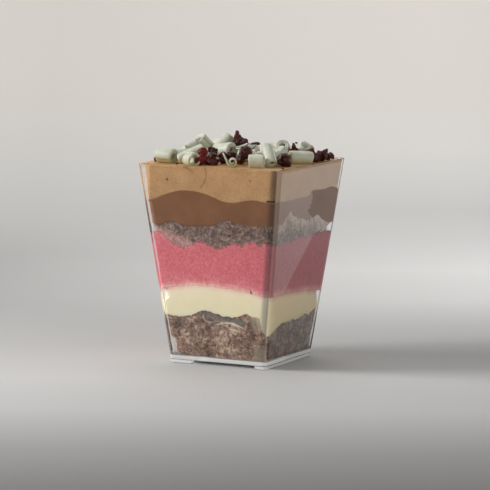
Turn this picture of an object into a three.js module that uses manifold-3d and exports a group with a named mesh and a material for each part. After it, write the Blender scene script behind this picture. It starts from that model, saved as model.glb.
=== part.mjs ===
// A cherry chocolate cake cup: a clear square tapered dessert cup with six layers of sponge,
// cream and mousse, topped with a heap of white chocolate curls and dried cherry pieces.
// Millimetres, +Z up, origin at the middle of the cup's foot on the table.
import * as THREE from "three";
import { mergeVertices } from "three/addons/utils/BufferGeometryUtils.js";
import Module from "manifold-3d";

const wasm = await Module();
wasm.setup();

// Driving dimensions of the cup
const cupHeight = 75;
const topSide = 58.6; // outer side of the square at the rim
const footSide = 39.4; // outer side of the square at the table
const wall = 1.3;
const topCornerRadius = 2.8;
const footCornerRadius = 1.6;
const innerCornerLeast = 0.8;
const rimRound = 0.35;
const skirtHeight = 1.5; // the hollow under the floor
const skirtThickness = 2;
const floorTop = 3.4;
const floorFillet = 0.7;
const archLeft = -10.9; // the low opening in the front and back skirt
const archRight = 15.4;
const archRound = 0.7;

// Driving dimensions of the contents
const gap = 0.3; // between the contents and the cup
const layerGap = 0.4; // between neighbouring layers
const heapClearance = 0.35; // between toppings
const degrees = Math.PI / 180;

// Each interface is a level with a few humps and dips of the spread mousse. inset is the air
// between its edge and the wall, corner the radius of its upright corners.
const interfaces = {
  underSponge: { level: floorTop + gap - layerGap / 2, inset: 0.2, corner: 4.2, humps: [] },
  spongeToCream: {
    level: 18.6,
    inset: 0.2,
    corner: 4.2,
    humps: [
      { x: -14, y: -21, rise: -0.9, reach: 6 },
      { x: -5, y: -21, rise: 2, reach: 6 },
      { x: 13, y: -21, rise: 2, reach: 4 },
      { x: 20, y: -19, rise: -3, reach: 4 },
      { x: 21, y: -12, rise: -1.6, reach: 5 },
      { x: -21, y: 8, rise: 1.6, reach: 7 },
      { x: 6, y: 21, rise: -1.4, reach: 7 },
    ],
  },
  creamRunsDown: { level: 10, inset: 0, corner: 2.4, humps: [] }, // beside the sponge's corners
  creamToCherry: {
    level: 28,
    inset: 0.2,
    corner: 3,
    humps: [
      { x: -3, y: -23, rise: 2, reach: 12 },
      { x: 23, y: 22, rise: -2.4, reach: 14 },
      { x: -22, y: 12, rise: -1.2, reach: 10 },
      { x: 0, y: 23, rise: 1, reach: 9 },
    ],
  },
  cherryToCrumb: {
    level: 47.4,
    inset: 0.4,
    corner: 4.6,
    humps: [
      { x: -22, y: -25, rise: 2.4, reach: 5 },
      { x: -11, y: -25, rise: -2.8, reach: 5 },
      { x: 1, y: -25, rise: -2.3, reach: 4 },
      { x: -25, y: 6, rise: -1.6, reach: 8 },
      { x: 5, y: 25, rise: -2, reach: 7 },
    ],
  },
  crumbToCaramel: {
    level: 53.6,
    inset: 0.4,
    corner: 4.6,
    humps: [
      { x: -20, y: -26, rise: -1, reach: 6 },
      { x: 6, y: -26, rise: 1.6, reach: 7 },
      { x: 26, y: -14, rise: 2.8, reach: 5.5 },
      { x: 26, y: 20, rise: -2.4, reach: 7 },
      { x: -26, y: 8, rise: 1.8, reach: 7 },
      { x: -6, y: 26, rise: -1.5, reach: 7 },
    ],
  },
  caramelToChocolate: {
    level: 63,
    inset: 0.1,
    corner: 3.4,
    humps: [
      { x: -27, y: -27, rise: -2.2, reach: 7 },
      { x: -8, y: -27, rise: 2.9, reach: 8 },
      { x: 7, y: -27, rise: -0.9, reach: 5 },
      { x: 27, y: 10, rise: 2.2, reach: 9 },
      { x: -27, y: 10, rise: 2, reach: 9 },
      { x: 4, y: 27, rise: -1.8, reach: 8 },
    ],
  },
  mousseTop: {
    level: 74.5,
    inset: 0,
    corner: 3.4,
    humps: [
      { x: 0, y: 0, rise: 1.5, reach: 17 },
      { x: 18, y: -12, rise: 0.1, reach: 8 },
      { x: -20, y: 14, rise: -0.2, reach: 8 },
    ],
  },
};

// The layers from the bottom up, with the inset and corner of their own sides. Each lies over
// the interface that the layer below it ends at.
const layers = [
  { name: "base_sponge", over: "spongeToCream", inset: 0.2, corner: 4.2, colour: 0x7f6b5d },
  { name: "vanilla_cream", over: "creamToCherry", inset: 0, corner: 2.4, colour: 0xdbd3b2 },
  { name: "cherry_mousse", over: "cherryToCrumb", inset: 0, corner: 1.6, colour: 0xc16c73 },
  { name: "dark_sponge", over: "crumbToCaramel", inset: 0.4, corner: 4.6, colour: 0x725c53 },
  { name: "caramel_cream", over: "caramelToChocolate", inset: 0, corner: 2.6, colour: 0x755036 },
  { name: "chocolate_mousse", over: "mousseTop", inset: 0, corner: 3.4, colour: 0xa6835d },
];
const layerRings = [0, 0.5, 0.88, 1]; // of the half width, on the upper and under faces
const layerSideLevels = [0.15, 0.85]; // of the height
const wallFitPasses = 4; // to settle each edge point on the sloping wall
const layerSides = { straightSteps: 10, cornerSteps: 4 };
const cupSides = { straightSteps: 2, cornerSteps: 6 };

// The heap, in the order in which the pieces are laid down. Each piece has its place seen from
// above, the way it points (yaw), how far its far end is raised (tilt), and its own size.
const heap = [
  { kind: "curl", x: -21.1, y: -21.4, yaw: -4, tilt: -3, length: 6.9, radius: 2.3 },
  { kind: "curl", x: -20, y: -12.6, yaw: 24, tilt: 0, length: 7, radius: 2 },
  { kind: "curl", x: -9, y: -25.2, yaw: -32, tilt: 0, length: 5.4, radius: 1.95 },
  { kind: "curl", x: 16, y: -20.4, yaw: 18, tilt: 0, length: 5.4, radius: 2 },
  { kind: "curl", x: 23.8, y: 0.2, yaw: 42, tilt: -3, length: 8.6, radius: 2.05 },
  { kind: "cherry", x: -1, y: -22.4, yaw: 30, size: [4.9, 4.4, 4.5], taper: 0.2, lean: 0 },
  { kind: "cherry", x: -6.2, y: -21.6, yaw: -20, size: [4.9, 4.4, 5.4], taper: 0.1, lean: 0.1 },
  { kind: "scroll", x: 7.4, y: -23, yaw: -62, tilt: 0, length: 4, radius: 1.75 },
  { kind: "cherry", x: 8.8, y: -16.6, yaw: 35, size: [6.4, 4.4, 6.8], taper: -0.1, lean: 0.3 },
  { kind: "cherry", x: 23, y: -12.2, yaw: 26, size: [4.9, 4.4, 4.6], taper: 0.45, lean: 0 },
  { kind: "cherry", x: 25.4, y: 8, yaw: 30, size: [4.6, 4.6, 5], taper: 0.2, lean: 0 },
  { kind: "cherry", x: 26.4, y: 13.6, yaw: 50, size: [4.6, 4, 4.6], taper: 0.2, lean: 0.1 },
  { kind: "cherry", x: 26.6, y: 19.4, yaw: 64, size: [4, 3.4, 3], taper: 0, lean: -0.2 },
  { kind: "cherry", x: -26.4, y: -19, yaw: 10, size: [1.8, 1.8, 2.1], taper: 0, lean: 0 },
  { kind: "cherry", x: 0.4, y: -17.4, yaw: 80, size: [3.8, 3.4, 4.6], taper: 0.3, lean: -0.1 },
  { kind: "cherry", x: 1.6, y: -13, yaw: 20, size: [4, 3, 4.2], taper: 0.2, lean: 0 },
  { kind: "curl", x: -10, y: -12.4, yaw: 34, tilt: 0, length: 7.6, radius: 1.8 },
  { kind: "curl", x: 6.2, y: -8.8, yaw: 6, tilt: 0, length: 7, radius: 1.9 },
  { kind: "curl", x: 13.8, y: -8.8, yaw: 70, tilt: 0, length: 6.4, radius: 1.9 },
  { kind: "curl", x: -20.5, y: -4, yaw: -50, tilt: 0, length: 8.4, radius: 2.1 },
  { kind: "curl", x: -4.8, y: -5, yaw: -20, tilt: 9, length: 7.6, radius: 2.2 },
  { kind: "curl", x: 2.6, y: -0.4, yaw: 66, tilt: 0, length: 8.4, radius: 2 },
  { kind: "curl", x: 12.6, y: -1.2, yaw: -28, tilt: 0, length: 7.6, radius: 1.9 },
  { kind: "curl", x: 20.2, y: 8, yaw: 24, tilt: 52, length: 7.2, radius: 1.7, slant: 2 },
  { kind: "curl", x: -3.6, y: 7.6, yaw: 14, tilt: 0, length: 8.4, radius: 2 },
  { kind: "curl", x: -17.2, y: 9.6, yaw: 72, tilt: 0, length: 8.6, radius: 2 },
  { kind: "curl", x: -24.2, y: 9, yaw: 84, tilt: 0, length: 8.4, radius: 1.9 },
  { kind: "curl", x: 5.8, y: 14.6, yaw: -22, tilt: 0, length: 9, radius: 2.1 },
  { kind: "curl", x: -7.8, y: 14.6, yaw: 44, tilt: 0, length: 8.4, radius: 2 },
  { kind: "curl", x: -19.8, y: 21.6, yaw: -14, tilt: 0, length: 8.6, radius: 2.1 },
  { kind: "curl", x: 2.8, y: 22.8, yaw: 8, tilt: 0, length: 9, radius: 2 },
  { kind: "curl", x: 13.2, y: 23.6, yaw: -20, tilt: 0, length: 8.2, radius: 2 },
  { kind: "curl", x: -12, y: 6.4, yaw: -36, tilt: 0, length: 7.4, radius: 1.9 },
  { kind: "cherry", x: -11.8, y: 19.4, yaw: 20, size: [4.6, 3.6, 3.6], taper: 0.2, lean: 0.1 },
  { kind: "cherry", x: -7.2, y: 23.8, yaw: 75, size: [4.8, 4, 3.8], taper: 0.1, lean: 0 },
  { kind: "cherry", x: 22, y: 21.6, yaw: 40, size: [4.4, 3.6, 3.2], taper: 0.2, lean: 0 },
  { kind: "cherry", x: 13.6, y: 16.6, yaw: 10, size: [4.4, 3.8, 4], taper: 0.3, lean: -0.2 },
  { kind: "cherry", x: 18.8, y: 4.4, yaw: 26, size: [4.2, 3.2, 3.6], taper: 0.7, lean: 0 },
  { kind: "curl", x: -11.4, y: -19.4, yaw: 32, tilt: 22, length: 9.8, radius: 1.75 },
  { kind: "curl", x: -15.4, y: -10.4, yaw: 48, tilt: 24, length: 4.8, radius: 1.4, slant: 1.6 },
  { kind: "curl", x: -15.8, y: 0.8, yaw: 60, tilt: -44, length: 8.4, radius: 2.05 },
  { kind: "curl", x: -8.4, y: 1.2, yaw: 46, tilt: 44, length: 8.2, radius: 1.9 },
  { kind: "curl", x: 17.5, y: -14.1, yaw: -50, tilt: -40, length: 9.8, radius: 1.65 },
  { kind: "curl", x: 18.8, y: -6.9, yaw: 86, tilt: 30, length: 7.6, radius: 1.6 },
  { kind: "curl", x: 13.2, y: 7.4, yaw: -72, tilt: 32, length: 7.6, radius: 2.1 },
  { kind: "cherry", x: -3.2, y: -18, yaw: 0, size: [3.8, 3.4, 3.2], taper: 0.4, lean: 0.2 },
  { kind: "cherry", x: 3.4, y: 4, yaw: 20, size: [3.6, 1.8, 1.6], taper: 0, lean: 0 },
  { kind: "cherry", x: 8.8, y: 5.4, yaw: 20, size: [3.4, 2.8, 4], taper: 0.2, lean: 0 },
  { kind: "cherry", x: -0.6, y: -1.2, yaw: 26, size: [6.6, 4, 6.4], taper: 0.75, lean: -0.45 },
];
const rollForm = { share: 0.34, gapShare: 0.11, turns: 1.2, start: 60, stepsPerTurn: 12 };
const scrollForm = {
  thickness: 0.7,
  turns: 1.35,
  start: 290,
  tail: 3.9,
  pitch: 0.9,
  stepsPerTurn: 14,
};
const cherryForm = { detail: 2, lumps: 0.09, lumpWaves: 2.6 };
const rodEndShare = 0.6; // of its radius, by which a rod's axis stops short of the roll's end
const dropHeight = 25; // above the rim, from where each piece is let down
const dropStep = 0.05;

const share = (height) => height / cupHeight;
const outerHalf = (height) => (footSide + (topSide - footSide) * share(height)) / 2;
const outerCorner = (height) =>
  footCornerRadius + (topCornerRadius - footCornerRadius) * share(height);

// The point at a step round a rounded square, whose sides and corner arcs have equal steps
function squarePoint(step, sides, half, radius) {
  const stepsPerSide = sides.straightSteps + sides.cornerSteps;
  const quarter = Math.floor(step / stepsPerSide);
  const stepOnSide = step % stepsPerSide;
  const straight = half - radius;
  const point = new THREE.Vector2(half, 0);
  if (stepOnSide < sides.straightSteps) {
    point.y = straight * ((2 * stepOnSide) / sides.straightSteps - 1);
  } else {
    const angle = ((stepOnSide - sides.straightSteps) / sides.cornerSteps) * (Math.PI / 2);
    point.set(straight + radius * Math.cos(angle), straight + radius * Math.sin(angle));
  }
  return point.rotateAround(new THREE.Vector2(), quarter * (Math.PI / 2));
}

// A turned solid whose rings are pushed out to rounded squares. The profile runs from the axis
// below, round the outside, to the axis above; place gives each of its points at each step.
function squaredLathe(profile, sides, place) {
  const steps = 4 * (sides.straightSteps + sides.cornerSteps);
  const rings = profile.map((ring) => new THREE.Vector2(ring.reach, 0));
  const geometry = new THREE.LatheGeometry(rings, steps);
  const position = geometry.getAttribute("position");
  for (let index = 0; index < position.count; index += 1) {
    const step = Math.floor(index / profile.length) % steps;
    const point = place(profile[index % profile.length], step);
    position.setXYZ(index, point.x, point.y, point.z);
  }
  return positionsOnly(geometry);
}

function positionsOnly(geometry) {
  const plain = geometry.clone();
  plain.deleteAttribute("normal");
  plain.deleteAttribute("uv");
  const merged = mergeVertices(plain, 1e-4);
  return withoutCollapsedFaces(merged);
}

// Rings on the axis leave faces without area, which a closed solid does not need.
function withoutCollapsedFaces(geometry) {
  const kept = [];
  const index = geometry.index.array;
  for (let face = 0; face < index.length; face += 3) {
    const [a, b, c] = [index[face], index[face + 1], index[face + 2]];
    if (a !== b && b !== c && c !== a) {
      kept.push(a, b, c);
    }
  }
  geometry.setIndex(kept);
  return geometry;
}

function toSolid(geometry) {
  const plain = positionsOnly(geometry);
  return new wasm.Manifold(
    new wasm.Mesh({
      numProp: 3,
      vertProperties: new Float32Array(plain.getAttribute("position").array),
      triVerts: new Uint32Array(plain.index.array),
    }),
  );
}

function toGeometry(solid) {
  const mesh = solid.getMesh();
  return new THREE.BufferGeometry()
    .setAttribute("position", new THREE.BufferAttribute(mesh.vertProperties, 3))
    .setIndex(new THREE.BufferAttribute(mesh.triVerts, 1));
}

// The cup, from the hollow under its floor, over the rim and down to the floor inside
function cupGeometry() {
  const profile = [
    { reach: 0, height: skirtHeight },
    { reach: 1, height: skirtHeight, inset: skirtThickness },
    { reach: 1, height: 0, inset: skirtThickness },
    { reach: 1, height: 0, inset: 0 },
    { reach: 1, height: cupHeight - rimRound, inset: 0 },
    { reach: 1, height: cupHeight, inset: rimRound },
    { reach: 1, height: cupHeight, inset: wall - rimRound },
    { reach: 1, height: cupHeight - rimRound, inset: wall },
    { reach: 1, height: floorTop + floorFillet, inset: wall },
    { reach: 1, height: floorTop, inset: wall + floorFillet },
    { reach: 0, height: floorTop },
  ];
  const body = squaredLathe(profile, cupSides, (ring, step) => {
    if (ring.reach === 0) {
      return new THREE.Vector3(0, 0, ring.height);
    }
    const half = outerHalf(ring.height) - ring.inset;
    const corner = Math.max(outerCorner(ring.height) - ring.inset, innerCornerLeast);
    const point = squarePoint(step, cupSides, half, corner);
    return new THREE.Vector3(point.x, point.y, ring.height);
  });
  let cup = toSolid(body);
  for (const side of [-1, 1]) {
    cup = cup.subtract(toSolid(archCutter(side)));
  }
  return toGeometry(cup);
}

// The low opening with round upper corners that lets the skirt stand on its two side runners
function archCutter(side) {
  const below = -skirtHeight;
  const cutDepth = skirtThickness + 2 * gap;
  const outline = new THREE.Shape();
  outline.moveTo(archLeft, below);
  outline.lineTo(archRight, below);
  outline.lineTo(archRight, skirtHeight - archRound);
  outline.quadraticCurveTo(archRight, skirtHeight, archRight - archRound, skirtHeight);
  outline.lineTo(archLeft + archRound, skirtHeight);
  outline.quadraticCurveTo(archLeft, skirtHeight, archLeft, skirtHeight - archRound);
  const cutter = new THREE.ExtrudeGeometry(outline, {
    depth: cutDepth,
    bevelEnabled: false,
    curveSegments: 3,
  });
  cutter.rotateX(90 * degrees);
  const middle = side * (outerHalf(0) - skirtThickness / 2);
  cutter.translate(0, middle + cutDepth / 2, 0);
  return cutter;
}

function interfaceHeight(name, x, y) {
  const { level, humps } = interfaces[name];
  return humps.reduce((height, hump) => {
    const away = Math.hypot(x - hump.x, y - hump.y) / hump.reach;
    return height + hump.rise * Math.exp(-away * away);
  }, level);
}

// One layer: a squared lathe whose under and upper faces follow the interfaces it lies between.
// grow makes it larger all round, to cut its neighbour clear of it.
function layerGeometry(layer, underName, grow = 0) {
  const profile = [
    ...layerRings.map((reach) => ({ reach, level: 0 })),
    ...layerSideLevels.map((level) => ({ reach: 1, level })),
    ...layerRings.map((reach) => ({ reach, level: 1 })).reverse(),
  ];
  const under = interfaces[underName];
  const over = interfaces[layer.over];
  return squaredLathe(profile, layerSides, (ring, step) => {
    const edge = { 0: under, 1: over }[ring.level] ?? layer;
    let point = new THREE.Vector3(0, 0, THREE.MathUtils.lerp(under.level, over.level, ring.level));
    for (let pass = 0; pass < wallFitPasses; pass += 1) {
      const half = outerHalf(point.z) - wall - gap - edge.inset + grow;
      const corner = edge.corner + grow;
      const flat = squarePoint(step, layerSides, half * ring.reach, corner * ring.reach);
      const low = interfaceHeight(underName, flat.x, flat.y) + layerGap / 2 - grow;
      const high = interfaceHeight(layer.over, flat.x, flat.y) - layerGap / 2 + grow;
      point = new THREE.Vector3(flat.x, flat.y, THREE.MathUtils.lerp(low, high, ring.level));
    }
    return point;
  });
}

// The cream lies over the sponge and runs down its four rounded corners.
function creamGeometry(cream, sponge) {
  const poured = toSolid(layerGeometry(cream, "creamRunsDown"));
  return toGeometry(poured.subtract(toSolid(layerGeometry(sponge, "underSponge", layerGap))));
}

// The section of a roll: a band that winds inwards, outer edge first, then back along its inside
function rollSection(radius) {
  const thickness = radius * rollForm.share;
  const pitch = thickness + radius * rollForm.gapShare;
  const steps = Math.round(rollForm.turns * rollForm.stepsPerTurn);
  const outer = [];
  const inner = [];
  for (let step = 0; step <= steps; step += 1) {
    const turn = (rollForm.turns * step) / steps;
    const angle = rollForm.start * degrees + turn * 2 * Math.PI;
    const reach = radius - pitch * turn;
    outer.push(new THREE.Vector2(reach * Math.cos(angle), reach * Math.sin(angle)));
    const inside = reach - thickness;
    inner.push(new THREE.Vector2(inside * Math.cos(angle), inside * Math.sin(angle)));
  }
  return new THREE.Shape([...outer, ...inner.reverse()]);
}

// The thin scroll: a ring that lets go of itself and runs off as a straight tail
function scrollSection(radius) {
  const { thickness, turns, tail, pitch, stepsPerTurn } = scrollForm;
  const steps = Math.round(turns * stepsPerTurn);
  const start = scrollForm.start * degrees;
  const outer = [];
  const inner = [];
  for (let step = 0; step <= steps; step += 1) {
    const turn = (turns * step) / steps;
    const angle = start + turn * 2 * Math.PI;
    const reach = radius + pitch * (1 - turn);
    outer.push(new THREE.Vector2(reach * Math.cos(angle), reach * Math.sin(angle)));
    const inside = reach - thickness;
    inner.push(new THREE.Vector2(inside * Math.cos(angle), inside * Math.sin(angle)));
  }
  const along = new THREE.Vector2(Math.sin(start), -Math.cos(start)).multiplyScalar(tail);
  const tip = outer[0].clone().add(along);
  const tipInside = inner[0].clone().add(along);
  return new THREE.Shape([tip, ...outer, ...inner.reverse(), tipInside]);
}

// A roll lies along +X, turned to its yaw and raised by its tilt; slant cuts its far end askew.
function rollGeometry(piece, section) {
  const roll = new THREE.ExtrudeGeometry(section, {
    depth: piece.length,
    bevelEnabled: false,
    steps: 1,
  });
  roll.translate(0, 0, -piece.length / 2);
  if (piece.slant) {
    slantFarEnd(roll, piece);
  }
  roll.rotateY(90 * degrees);
  return roll;
}

function slantFarEnd(roll, piece) {
  const position = roll.getAttribute("position");
  for (let index = 0; index < position.count; index += 1) {
    if (position.getZ(index) > 0) {
      const askew = (piece.slant * (position.getX(index) - piece.radius)) / (2 * piece.radius);
      position.setZ(index, position.getZ(index) + askew);
    }
  }
}

// A dried cherry piece: a faceted ball with a few soft lumps, drawn in towards its top by taper
// and pushed sideways by lean
function cherryGeometry(piece, seed) {
  const cherry = new THREE.IcosahedronGeometry(1, cherryForm.detail);
  const position = cherry.getAttribute("position");
  const [width, depth, height] = piece.size;
  for (let index = 0; index < position.count; index += 1) {
    const point = new THREE.Vector3().fromBufferAttribute(position, index);
    const wave = cherryForm.lumpWaves;
    const lump =
      Math.sin(wave * point.x + seed) *
      Math.sin(wave * point.y + 2 * seed) *
      Math.cos(wave * point.z + 3 * seed);
    point.multiplyScalar(1 + cherryForm.lumps * (2 * lump - 1));
    const drawIn = 1 - piece.taper * Math.max(point.z, 0);
    position.setXYZ(
      index,
      (width / 2) * (point.x * drawIn + piece.lean * point.z),
      (depth / 2) * point.y * drawIn,
      (height / 2) * point.z,
    );
  }
  return cherry;
}

function pieceGeometry(piece, seed) {
  if (piece.kind === "cherry") {
    return cherryGeometry(piece, seed);
  }
  const section = piece.kind === "scroll" ? scrollSection(piece.radius) : rollSection(piece.radius);
  return rollGeometry(piece, section);
}

// For laying down, each piece is a rod with round ends: an axis from end to end and a radius.
function rodOf(piece) {
  const yaw = piece.yaw * degrees;
  const tilt = (piece.tilt ?? 0) * degrees;
  const along = new THREE.Vector3(
    Math.cos(yaw) * Math.cos(tilt),
    Math.sin(yaw) * Math.cos(tilt),
    Math.sin(tilt),
  );
  let radius = piece.radius + (piece.kind === "scroll" ? scrollForm.thickness : 0);
  let halfAxis = Math.max(piece.length / 2 - rodEndShare * radius, 0);
  if (piece.kind === "cherry") {
    const [width, depth, height] = piece.size;
    const upright = height > width;
    radius = Math.max(depth, Math.min(width, height)) / 2;
    halfAxis = Math.max(width, height) / 2 - radius;
    along.copy(upright ? new THREE.Vector3(0, 0, 1) : along);
  }
  return { radius, halfAxis, along, middle: new THREE.Vector3(piece.x, piece.y, 0) };
}

// Shortest distance between the axes of two rods
function axisDistance(a, b) {
  const between = new THREE.Vector3().subVectors(a.middle, b.middle);
  const facing = a.along.dot(b.along);
  const alongA = a.along.dot(between);
  const alongB = b.along.dot(between);
  const crossing = 1 - facing * facing;
  let onA = crossing > 1e-6 ? (facing * alongB - alongA) / crossing : 0;
  onA = THREE.MathUtils.clamp(onA, -a.halfAxis, a.halfAxis);
  const onB = THREE.MathUtils.clamp(facing * onA + alongB, -b.halfAxis, b.halfAxis);
  onA = THREE.MathUtils.clamp(facing * onB - alongA, -a.halfAxis, a.halfAxis);
  const pointA = a.along.clone().multiplyScalar(onA).add(a.middle);
  const pointB = b.along.clone().multiplyScalar(onB).add(b.middle);
  return pointA.distanceTo(pointB);
}

function touchesMousse(rod) {
  return [-1, 0, 1].some((end) => {
    const point = rod.along.clone().multiplyScalar(end * rod.halfAxis).add(rod.middle);
    const mousse = interfaceHeight("mousseTop", point.x, point.y) - layerGap / 2;
    return point.z - rod.radius < mousse + gap;
  });
}

// Lowers a piece from above the heap until it rests on the mousse or on a piece already there
function layDown(rod, placed) {
  const blocked = () =>
    touchesMousse(rod) ||
    placed.some((other) => axisDistance(rod, other) < rod.radius + other.radius + heapClearance);
  rod.middle.z = cupHeight + dropHeight;
  while (!blocked()) {
    rod.middle.z -= dropStep;
  }
  rod.middle.z += dropStep;
}

const material = (colour, roughness) =>
  new THREE.MeshStandardMaterial({ color: colour, roughness, metalness: 0 });

const clearPlastic = material(0xf2f5f5, 0.06);
clearPlastic.transparent = true;
clearPlastic.opacity = 0.35;
const whiteChocolate = material(0xd9d8c0, 0.45);
const driedCherry = material(0x4a1513, 0.3);

const surfaces = { curl: whiteChocolate, scroll: whiteChocolate, cherry: driedCherry };

const cakeCup = new THREE.Group();

function addMesh(name, geometry, surface) {
  const mesh = new THREE.Mesh(geometry, surface);
  mesh.name = name;
  cakeCup.add(mesh);
  return mesh;
}

addMesh("cup", cupGeometry(), clearPlastic);
let underName = "underSponge";
for (const layer of layers) {
  const geometry =
    layer.name === "vanilla_cream"
      ? creamGeometry(layer, layers[0])
      : layerGeometry(layer, underName);
  addMesh(layer.name, geometry, material(layer.colour, 0.8));
  underName = layer.over;
}

const placed = [];
const counts = { curl: 0, cherry: 0, scroll: 0 };
for (const piece of heap) {
  counts[piece.kind] += 1;
  const name = `${piece.kind}_${String(counts[piece.kind]).padStart(2, "0")}`;
  const rod = rodOf(piece);
  layDown(rod, placed);
  placed.push(rod);
  const mesh = addMesh(name, pieceGeometry(piece, counts[piece.kind]), surfaces[piece.kind]);
  mesh.rotation.set(0, -(piece.tilt ?? 0) * degrees, piece.yaw * degrees, "ZYX");
  mesh.position.copy(rod.middle);
}

export default cakeCup;
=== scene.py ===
# Cherry chocolate cake cup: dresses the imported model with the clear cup, its six layers and the
# heap of white chocolate curls and dried cherries. Metres, +Z up, the cup's foot on z = 0.
import math
import random

import bpy
from mathutils import Euler, Matrix, Vector, noise


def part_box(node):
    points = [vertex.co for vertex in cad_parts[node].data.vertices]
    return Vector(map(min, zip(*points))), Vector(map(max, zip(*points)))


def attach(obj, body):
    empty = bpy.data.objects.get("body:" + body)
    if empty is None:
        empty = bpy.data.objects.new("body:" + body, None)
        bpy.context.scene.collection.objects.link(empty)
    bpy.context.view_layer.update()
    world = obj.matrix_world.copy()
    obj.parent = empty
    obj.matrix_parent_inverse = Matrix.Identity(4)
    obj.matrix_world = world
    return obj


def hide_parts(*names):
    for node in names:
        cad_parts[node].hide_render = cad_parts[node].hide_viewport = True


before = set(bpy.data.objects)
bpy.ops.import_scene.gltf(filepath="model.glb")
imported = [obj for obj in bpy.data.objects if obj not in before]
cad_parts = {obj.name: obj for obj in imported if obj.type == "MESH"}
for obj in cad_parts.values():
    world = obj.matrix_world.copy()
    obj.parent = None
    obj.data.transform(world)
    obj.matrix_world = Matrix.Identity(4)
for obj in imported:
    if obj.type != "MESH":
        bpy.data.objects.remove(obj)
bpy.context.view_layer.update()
mm = 0.001


# small helpers used by every piece

def deselectAll():
    if bpy.context.object and bpy.context.object.mode != "OBJECT":
        bpy.ops.object.mode_set(mode="OBJECT")
    bpy.ops.object.select_all(action="DESELECT")


def pick(piece):
    deselectAll()
    piece.select_set(True)
    bpy.context.view_layer.objects.active = piece


def named(name):
    piece = bpy.context.active_object
    piece.name = name
    piece.data.name = name
    return piece


def applyModifiers(piece):
    pick(piece)
    for modifier in list(piece.modifiers):
        bpy.ops.object.modifier_apply(modifier=modifier.name)


def applyPlace(piece):
    pick(piece)
    bpy.ops.object.transform_apply(location=True, rotation=True, scale=True)


def faceOutwards(piece):
    pick(piece)
    bpy.ops.object.mode_set(mode="EDIT")
    bpy.ops.mesh.select_all(action="SELECT")
    bpy.ops.mesh.normals_make_consistent(inside=False)
    bpy.ops.object.mode_set(mode="OBJECT")


def joinParts(parts, name):
    deselectAll()
    for part in parts:
        part.select_set(True)
    bpy.context.view_layer.objects.active = parts[0]
    if len(parts) > 1:
        bpy.ops.object.join()
    return named(name)


def thicken(piece, thickness, offset):
    # gives a sheet its thickness in millimetres and rounds its edges
    shell = piece.modifiers.new("thickness", "SOLIDIFY")
    shell.thickness = thickness * mm
    shell.offset = offset
    rounded = piece.modifiers.new("round", "SUBSURF")
    rounded.levels = rounded.render_levels = 1
    applyModifiers(piece)


def finishPiece(piece, material, slot, *nodes):
    # colours the piece, lets it ride on the cup and stand for its CAD nodes
    piece.data.materials.clear()
    piece.data.materials.append(material)
    pick(piece)
    bpy.ops.object.shade_smooth()
    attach(piece, "root")
    if nodes:
        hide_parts(*nodes)
    return piece


def mix(a, b, share):
    return a + (b - a) * share


def ease(value, low, high):
    share = min(1, max(0, (value - low) / (high - low)))
    return share * share * (3 - 2 * share)


def speckle(point, size, seed=0):
    # smooth noise from -1 to 1 whose lumps are about this size
    return noise.noise(Vector(point) / size + Vector((seed * 17.3, seed * 5.1, seed * 9.7)))


# camera at the photo's angle

cameraView = {
    "place": Vector((521.80, -1050.16, 193.11)) * mm,
    "target": Vector((1.023, 0.507, 43.170)) * mm,
    "roll": 0.425,  # degrees
    "lens": 232.38,
}
bpy.ops.object.camera_add(location=cameraView["place"])
camera = bpy.context.active_object
camera.name = "photoCamera"
ahead = (cameraView["target"] - cameraView["place"]).normalized()
turned = ahead.to_track_quat("-Z", "Y").to_matrix().to_4x4()
camera.matrix_world = (
    Matrix.Translation(cameraView["place"])
    @ turned
    @ Matrix.Rotation(math.radians(cameraView["roll"]), 4, "Z")
)
camera.data.lens = cameraView["lens"]
camera.data.sensor_width = 36
camera.data.clip_start = 0.05
camera.data.clip_end = 20
bpy.context.scene.camera = camera
bpy.context.scene.view_settings.view_transform = "Standard"
print("camera placed")


# node helpers for the materials

def newFinish(name):
    material = bpy.data.materials.new(name)
    material.use_nodes = True
    tree = material.node_tree
    tree.nodes.clear()
    output = tree.nodes.new("ShaderNodeOutputMaterial")
    shader = tree.nodes.new("ShaderNodeBsdfPrincipled")
    tree.links.new(shader.outputs["BSDF"], output.inputs["Surface"])
    return material, tree, shader


def place3d(tree):
    return tree.nodes.new("ShaderNodeTexCoord").outputs["Object"]


def noiseNode(tree, where, size, detail=3, roughness=0.55, distortion=0):
    # a noise whose lumps are about size millimetres
    node = tree.nodes.new("ShaderNodeTexNoise")
    node.inputs["Scale"].default_value = 1 / (size * mm)
    node.inputs["Detail"].default_value = detail
    node.inputs["Roughness"].default_value = roughness
    node.inputs["Distortion"].default_value = distortion
    tree.links.new(where, node.inputs["Vector"])
    return node.outputs["Fac"]


def cellNode(tree, where, size):
    # distance from the middles of cells that are about size millimetres wide
    node = tree.nodes.new("ShaderNodeTexVoronoi")
    node.inputs["Scale"].default_value = 1 / (size * mm)
    tree.links.new(where, node.inputs["Vector"])
    return node.outputs["Distance"]


def rampNode(tree, factor, stops):
    # stops: (place, colour or grey value)
    node = tree.nodes.new("ShaderNodeValToRGB")
    ramp = node.color_ramp
    while len(ramp.elements) < len(stops):
        ramp.elements.new(0.5)
    for element, (where, colour) in zip(ramp.elements, stops):
        element.position = where
        element.color = (*colour, 1) if hasattr(colour, "__len__") else (colour,) * 3 + (1,)
    tree.links.new(factor, node.inputs["Fac"])
    return node.outputs["Color"]


def mixColours(tree, factor, first, second, blend="MIX"):
    node = tree.nodes.new("ShaderNodeMix")
    node.data_type = "RGBA"
    node.blend_type = blend
    ends = ((node.inputs["Factor"], factor), (node.inputs[6], first), (node.inputs[7], second))
    for socket, value in ends:
        if isinstance(value, bpy.types.NodeSocket):
            tree.links.new(value, socket)
        elif hasattr(value, "__len__"):
            socket.default_value = (*value, 1)
        else:
            socket.default_value = value
    return node.outputs[2]


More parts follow.
